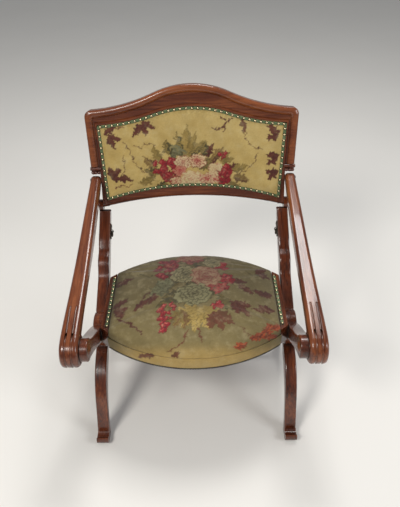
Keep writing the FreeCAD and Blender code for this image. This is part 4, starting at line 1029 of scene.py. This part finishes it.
class ARMCHAIR_OT_back_padding(bpy.types.Operator):
    """Stuff the back and cover it with the floral cloth"""

    bl_idname = "armchair.back_padding"
    bl_label = "Back padding"

    def execute(self, context):
        sizes = context.scene.armchair_sizes
        rim = np.array(opening_line(0.0))
        rim = np.vstack([rim, rim[:1]])
        held_rim, held_rear, pucker_height = 0.014, 0.008, 0.0006
        pull_place, pull_width, middle_up = 0.018, 0.012, 0.16

        def back_places(places):
            from_foot = places - np.array(BACK_FOOT)
            return (from_foot[:, 0], from_foot @ np.array(BACK_UP),
                    from_foot @ np.array(BACK_FRONT))

        def held(places):
            across, up, out = back_places(places)
            return (line_distance(across, up, rim) < held_rim) | (out < -held_rear)

        back = padding("back_cushion", "back_padding", (0.998, 1.0, 0.998), sizes.cloth_grain,
                       held, cap=0.012, pressure=sizes.back_pressure)
        finer(back)
        places = points_of(back.data)
        across, up, out = back_places(places)
        edge = line_distance(across, up, rim)
        front = smoothstep(-0.002, 0.002, out)
        pull = np.exp(-((edge - pull_place) / pull_width) ** 2) * front
        angle = np.arctan2(up - middle_up, across)
        pucker = np.sin(angle * 44) * 0.6 + np.sin(angle * 23 + 1) * 0.4
        places += np.array(BACK_FRONT) * (pucker_height * pull * pucker)[:, None]
        move_points(back.data, places)
        paint(back, back_flowers(across, up, context.scene.armchair_colours.back_ground))
        dress(back, floral_cloth("back_cloth", BACK_SOIL), "back", "floral_cloth", "back_cushion")
        return {"FINISHED"}


class ARMCHAIR_OT_seat_borders(bpy.types.Operator):
    """Wrap cloth over the bowed seat rails, with a dark cord along the lower edge"""

    bl_idname = "armchair.seat_borders"
    bl_label = "Seat borders"

    def execute(self, context):
        ground = context.scene.armchair_colours.seat_ground
        finish = floral_cloth("border_cloth", BORDER_SOIL)
        cord = braid_yarn("border_cord", (0.030, 0.020, 0.014), (0.010, 0.008, 0.006))
        routes = []
        rows, tall, bow_centre = 14, BORDER_TOP - SEAT_FOOT, 0.32
        cord_out, cord_up = 0.0012, 0.0022
        for word, flip in (("front", 1), ("back", -1)):
            edge = SEAT_FRONT if flip > 0 else SEAT_BACK
            half = SEAT_INSIDE - 0.0005
            ends = edge + flip * SEAT_BOW
            arc = arc_points((-SEAT_HALF, ends), (0, edge), (SEAT_HALF, ends), 200)
            arc = [p for p in arc if abs(p[0]) < half]
            first_y, last_y = np.interp((-half, half), *np.transpose(arc))
            line = even_points([(-half, first_y)] + arc + [(half, last_y)], 0.0025, False)
            shape = bmesh.new()
            edges = chain(shape, [(x, y, SEAT_FOOT) for x, y in line])[1]
            for _ in range(rows):
                fresh, edges = next_row(shape, edges)
                bmesh.ops.translate(shape, verts=fresh, vec=(0, 0, tall / rows))
            middle_y = edge + flip * bow_centre
            for vert in shape.verts:
                share = (vert.co.z - SEAT_FOOT) / tall
                swell = 0.0018 * math.sin(math.pi * share) + 0.0012 + 0.0026 * share ** 2
                ripple = 0.0005 * math.sin(vert.co.x * 210) * math.sin(vert.co.x * 47 + 1)
                away = Vector((vert.co.x, vert.co.y - middle_y, 0)).normalized()
                vert.co += away * (swell + ripple * share)
            bmesh.ops.recalc_face_normals(shape, faces=shape.faces)
            piece = add_piece(f"seat_{word}_border", shape, finish, "front_frame", "floral_cloth")
            if piece.data.polygons[0].normal.y * flip > 0:
                piece.data.flip_normals()
            thicken(piece, 0.0024, offset=-1)
            across, up = seat_cloth_places(points_of(piece.data))
            paint(piece, seat_flowers(across, up, ground))
            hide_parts(f"seat_{word}_cover")
            points = []
            outward = []
            for x, y in even_points(line, 0.0012, False):
                away = Vector((x, y - middle_y, 0)).normalized()
                points.append((x + away.x * cord_out, y + away.y * cord_out, SEAT_FOOT + cord_up))
                outward.append(tuple(away))
            routes.append((points, outward, False))
        plait("seat_edge_cord", routes, strands=2, width=0.0016, lift=0.0009, period=0.0085,
              thickness=0.0016, finish=cord, body="front_frame", slot="gimp_braid")
        return {"FINISHED"}


class ARMCHAIR_OT_gimp(bpy.types.Operator):
    """Plait the green gimp round the back and along the sides of the seat"""

    bl_idname = "armchair.gimp"
    bl_label = "Gimp"

    def execute(self, context):
        sizes = context.scene.armchair_sizes
        green = context.scene.armchair_colours.gimp_green
        yarn = braid_yarn("gimp_yarn", green, (0.045, 0.085, 0.040))
        strands, lift, step, inset, level = 3, 0.0004, 0.0010, 0.005, 0.0008
        braid = (strands, sizes.gimp_half, lift, sizes.plait_length, sizes.gimp_yarn, yarn)
        line = even_points(opening_line(inset), step, True)
        points = [tuple(on_back(x, z, level)) for x, z in line]
        outward = [tuple(BACK_FRONT)] * len(points)
        plait("back_gimp_plait", [(points, outward, True)], *braid, "back", "gimp_braid",
              "back_gimp")
        for word in SIDES:
            low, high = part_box(f"{word}_seat_gimp")
            x = (low[0] + high[0]) / 2
            run = even_points([(x, low[1] + 0.002, low[2] + level),
                               (x, high[1] - 0.002, low[2] + level)], step, False)
            plait(f"{word}_seat_gimp_plait", [(run, [(0, 0, 1)] * len(run), False)], *braid,
                  "front_frame", "gimp_braid", f"{word}_seat_gimp")
        return {"FINISHED"}


class ARMCHAIR_OT_webbing(bpy.types.Operator):
    """Interlace the webbing under the seat and behind the back padding"""

    bl_idname = "armchair.webbing"
    bl_label = "Webbing"

    def execute(self, context):
        steps = context.scene.armchair_sizes.strap_weave
        jute = plain_cloth("jute_webbing", (0.36, 0.26, 0.13), (0.22, 0.15, 0.07), 0.003)
        seat = bmesh.new()
        low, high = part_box("seat_webbing")
        shares, strap_half, back_half = (-0.5, 0, 0.5), 0.238, 0.286
        lanes_across = [SEAT_MIDDLE + share * (SEAT_BACK - SEAT_FRONT) / 2 for share in shares]
        lanes_along = [share * strap_half for share in shares]
        for number, y in enumerate(lanes_across):
            self.strap(seat, (low[0] + 0.0006, y), (high[0] - 0.0006, y), SEAT_STRAP,
                       SEAT_STRAP_LEVEL, steps, lanes_along, number)
        for number, (x, reach) in enumerate(zip(lanes_along, (0.148, 0.181, 0.148))):
            self.strap(seat, (x, SEAT_MIDDLE - reach), (x, SEAT_MIDDLE + reach), SEAT_STRAP,
                       SEAT_STRAP_LEVEL, steps, lanes_across, number + 1)
        piece = add_piece("seat_webbing_straps", seat, jute, "front_frame", "webbing")
        thicken(piece, 0.0014)
        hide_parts("seat_webbing")
        back = bmesh.new()
        lanes_up = [share * OPENING_TOP for share in shares]
        middle = (OPENING_TOP_MIDDLE + OPENING_FOOT_MIDDLE) / 2
        self.strap(back, (-back_half, middle), (back_half, middle), BACK_STRAP, 0, steps,
                   lanes_up, 0)
        for number, x in enumerate(lanes_up):
            inner = 1 - (x / OPENING_TOP) ** 2
            foot = OPENING_FOOT_CORNER + (OPENING_FOOT_MIDDLE - OPENING_FOOT_CORNER) * inner
            top = 0.318 if x == 0 else 0.283
            self.strap(back, (x, foot - 0.010), (x, top), BACK_STRAP, 0, steps, [middle],
                       number + 1)
        bmesh.ops.transform(back, matrix=behind_back(WEBBING_BACK), verts=back.verts)
        piece = add_piece("back_webbing_straps", back, jute, "back", "webbing")
        thicken(piece, 0.0010)
        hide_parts("back_webbing")
        return {"FINISHED"}

    def strap(self, shape, start, end, width, height, steps, lanes, first):
        """One strap from start to end that goes over and under the straps it meets."""
        run = Vector((*end, 0)) - Vector((*start, 0))
        made = bmesh.ops.create_grid(shape, x_segments=steps, y_segments=8, size=0.5)
        turn = Matrix.Rotation(math.atan2(run.y, run.x), 4, "Z")
        size = Matrix.Diagonal((run.length, width, 1, 1))
        middle = Vector((*start, 0)) + run / 2
        bmesh.ops.transform(shape, verts=made["verts"],
                            matrix=Matrix.Translation(middle) @ turn @ size)
        axis = 0 if abs(run.x) > abs(run.y) else 1
        for vert in made["verts"]:
            lift = 0.0
            for number, lane in enumerate(lanes):
                near = 1 - smoothstep(0.024, 0.040, abs(vert.co[axis] - lane))
                lift += near * (STRAP_WEAVE if (number + first) % 2 else -STRAP_WEAVE)
            vert.co.z = height + lift


class ARMCHAIR_OT_outer_cloth(bpy.types.Operator):
    """Stretch a plain cloth over the rear of the back"""

    bl_idname = "armchair.outer_cloth"
    bl_label = "Outer back cloth"

    def execute(self, context):
        finish = plain_cloth("outer_cloth", (0.20, 0.17, 0.085), (0.13, 0.11, 0.055), 0.0016)
        shape = bmesh.new()
        rim = [shape.verts.new((x, z, 0)) for x, z in
               even_points(opening_line(-0.0115), 0.008, True)]
        shape.faces.new(rim)
        half, foot, top, cell = 0.29, 0.01, 0.33, 0.010
        for axis, low, high in ((0, -half, half), (1, foot, top)):
            normal = Vector((1 - axis, axis, 0))
            for place in np.arange(low, high, cell):
                bmesh.ops.bisect_plane(shape, geom=shape.verts[:] + shape.edges[:]
                                       + shape.faces[:], plane_co=normal * place,
                                       plane_no=normal, dist=0.0004)
        for vert in shape.verts:
            x, z = vert.co.x, vert.co.y
            high = (z - (foot + top) / 2) / ((top - foot) / 2)
            inside = max(0, 1 - (x / half) ** 2) * max(0, 1 - high ** 2)
            vert.co.z = -0.0006 * inside + 0.0002 * math.sin(x * 90 + z * 40) * inside
        area = sum(face.calc_area() for face in shape.faces)
        bmesh.ops.transform(shape, matrix=behind_back(OUTER_CLOTH_BACK), verts=shape.verts)
        bmesh.ops.recalc_face_normals(shape, faces=shape.faces)
        piece = add_piece("outer_back_sheet", shape, finish, "back", "plain_cloth")
        thicken(piece, 0.001)
        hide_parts("outer_back_cloth")
        return {"FINISHED"}


class ARMCHAIR_OT_studio(bpy.types.Operator):
    """Set a pale floor, soft lamps and the camera"""

    bl_idname = "armchair.studio"
    bl_label = "Studio"

    def execute(self, context):
        scene = context.scene
        scene.view_settings.view_transform = "Standard"
        shape = bmesh.new()
        bmesh.ops.create_grid(shape, x_segments=1, y_segments=1, size=FLOOR_HALF)
        mesh = bpy.data.meshes.new("floor")
        shape.to_mesh(mesh)
        shape.free()
        floor = add_object("floor", mesh)
        f = Finish("pale_floor")
        blotch = f.noise(f.place(), scale=2, detail=2)
        mesh.materials.append(f.coat(Base_Color=f.mix(blotch, *FLOOR_COLOURS), Roughness=0.9))
        self.world(scene)
        for lamp in LAMPS:
            self.lamp(*lamp)
        self.camera(scene)
        return {"FINISHED"}

    def world(self, scene):
        world = bpy.data.worlds.new("studio")
        scene.world = world
        world.use_nodes = True
        light = world.node_tree.nodes["Background"]
        light.inputs["Color"].default_value = SKY_COLOUR
        light.inputs["Strength"].default_value = SKY_STRENGTH

    def lamp(self, name, place, size, power, colour):
        data = bpy.data.lights.new(name, "AREA")
        data.size = size
        data.energy = power
        data.color = colour
        lamp = add_object(name, data)
        lamp.location = place
        lamp.rotation_euler = (LIT_POINT - Vector(place)).to_track_quat("-Z", "Y").to_euler()

    def camera(self, scene):
        pitch, yaw, roll = CAMERA_PITCH, CAMERA_YAW, CAMERA_ROLL
        ahead = Vector((-math.sin(yaw) * math.cos(pitch), math.cos(yaw) * math.cos(pitch),
                        -math.sin(pitch)))
        right = Vector((math.cos(yaw), math.sin(yaw), 0))
        up = right.cross(ahead)
        level = math.cos(roll) * right + math.sin(roll) * up
        upright = math.cos(roll) * up - math.sin(roll) * right
        data = bpy.data.cameras.new("camera")
        data.sensor_width = CAMERA_SENSOR
        data.lens = CAMERA_LENS * CAMERA_SENSOR
        camera = add_object("camera", data)
        turn = Matrix((level, upright, -ahead)).transposed().to_4x4()
        camera.matrix_world = Matrix.Translation(CAMERA_PLACE) @ turn
        scene.camera = camera


class ARMCHAIR_PT_panel(bpy.types.Panel):
    """Everything that dresses the armchair"""

    bl_label = "Armchair"
    bl_idname = "ARMCHAIR_PT_panel"
    bl_space_type = "VIEW_3D"
    bl_region_type = "UI"
    bl_category = "Armchair"

    def draw(self, context):
        layout = self.layout
        for group in (context.scene.armchair_sizes, context.scene.armchair_colours):
            box = layout.box()
            for name in group.__annotations__:
                box.prop(group, name)
        for operator in OPERATORS:
            layout.operator(operator.bl_idname)


OPERATORS = (ARMCHAIR_OT_studio, ARMCHAIR_OT_wood, ARMCHAIR_OT_mouldings, ARMCHAIR_OT_ironwork,
             ARMCHAIR_OT_seat_padding, ARMCHAIR_OT_back_padding, ARMCHAIR_OT_seat_borders,
             ARMCHAIR_OT_gimp, ARMCHAIR_OT_webbing, ARMCHAIR_OT_outer_cloth)
CLASSES = (ArmchairSizes, ArmchairColours, *OPERATORS, ARMCHAIR_PT_panel)


def register():
    for entry in CLASSES:
        bpy.utils.register_class(entry)
    bpy.types.Scene.armchair_sizes = PointerProperty(type=ArmchairSizes)
    bpy.types.Scene.armchair_colours = PointerProperty(type=ArmchairColours)


def unregister():
    del bpy.types.Scene.armchair_colours
    del bpy.types.Scene.armchair_sizes
    for entry in reversed(CLASSES):
        bpy.utils.unregister_class(entry)


def main():
    register()
    bpy.ops.armchair.studio()
    bpy.ops.armchair.wood()
    bpy.ops.armchair.mouldings()
    bpy.ops.armchair.ironwork()
    bpy.ops.armchair.seat_padding()
    bpy.ops.armchair.back_padding()
    bpy.ops.armchair.seat_borders()
    bpy.ops.armchair.gimp()
    bpy.ops.armchair.webbing()
    bpy.ops.armchair.outer_cloth()


if __name__ == "__main__":
    main()
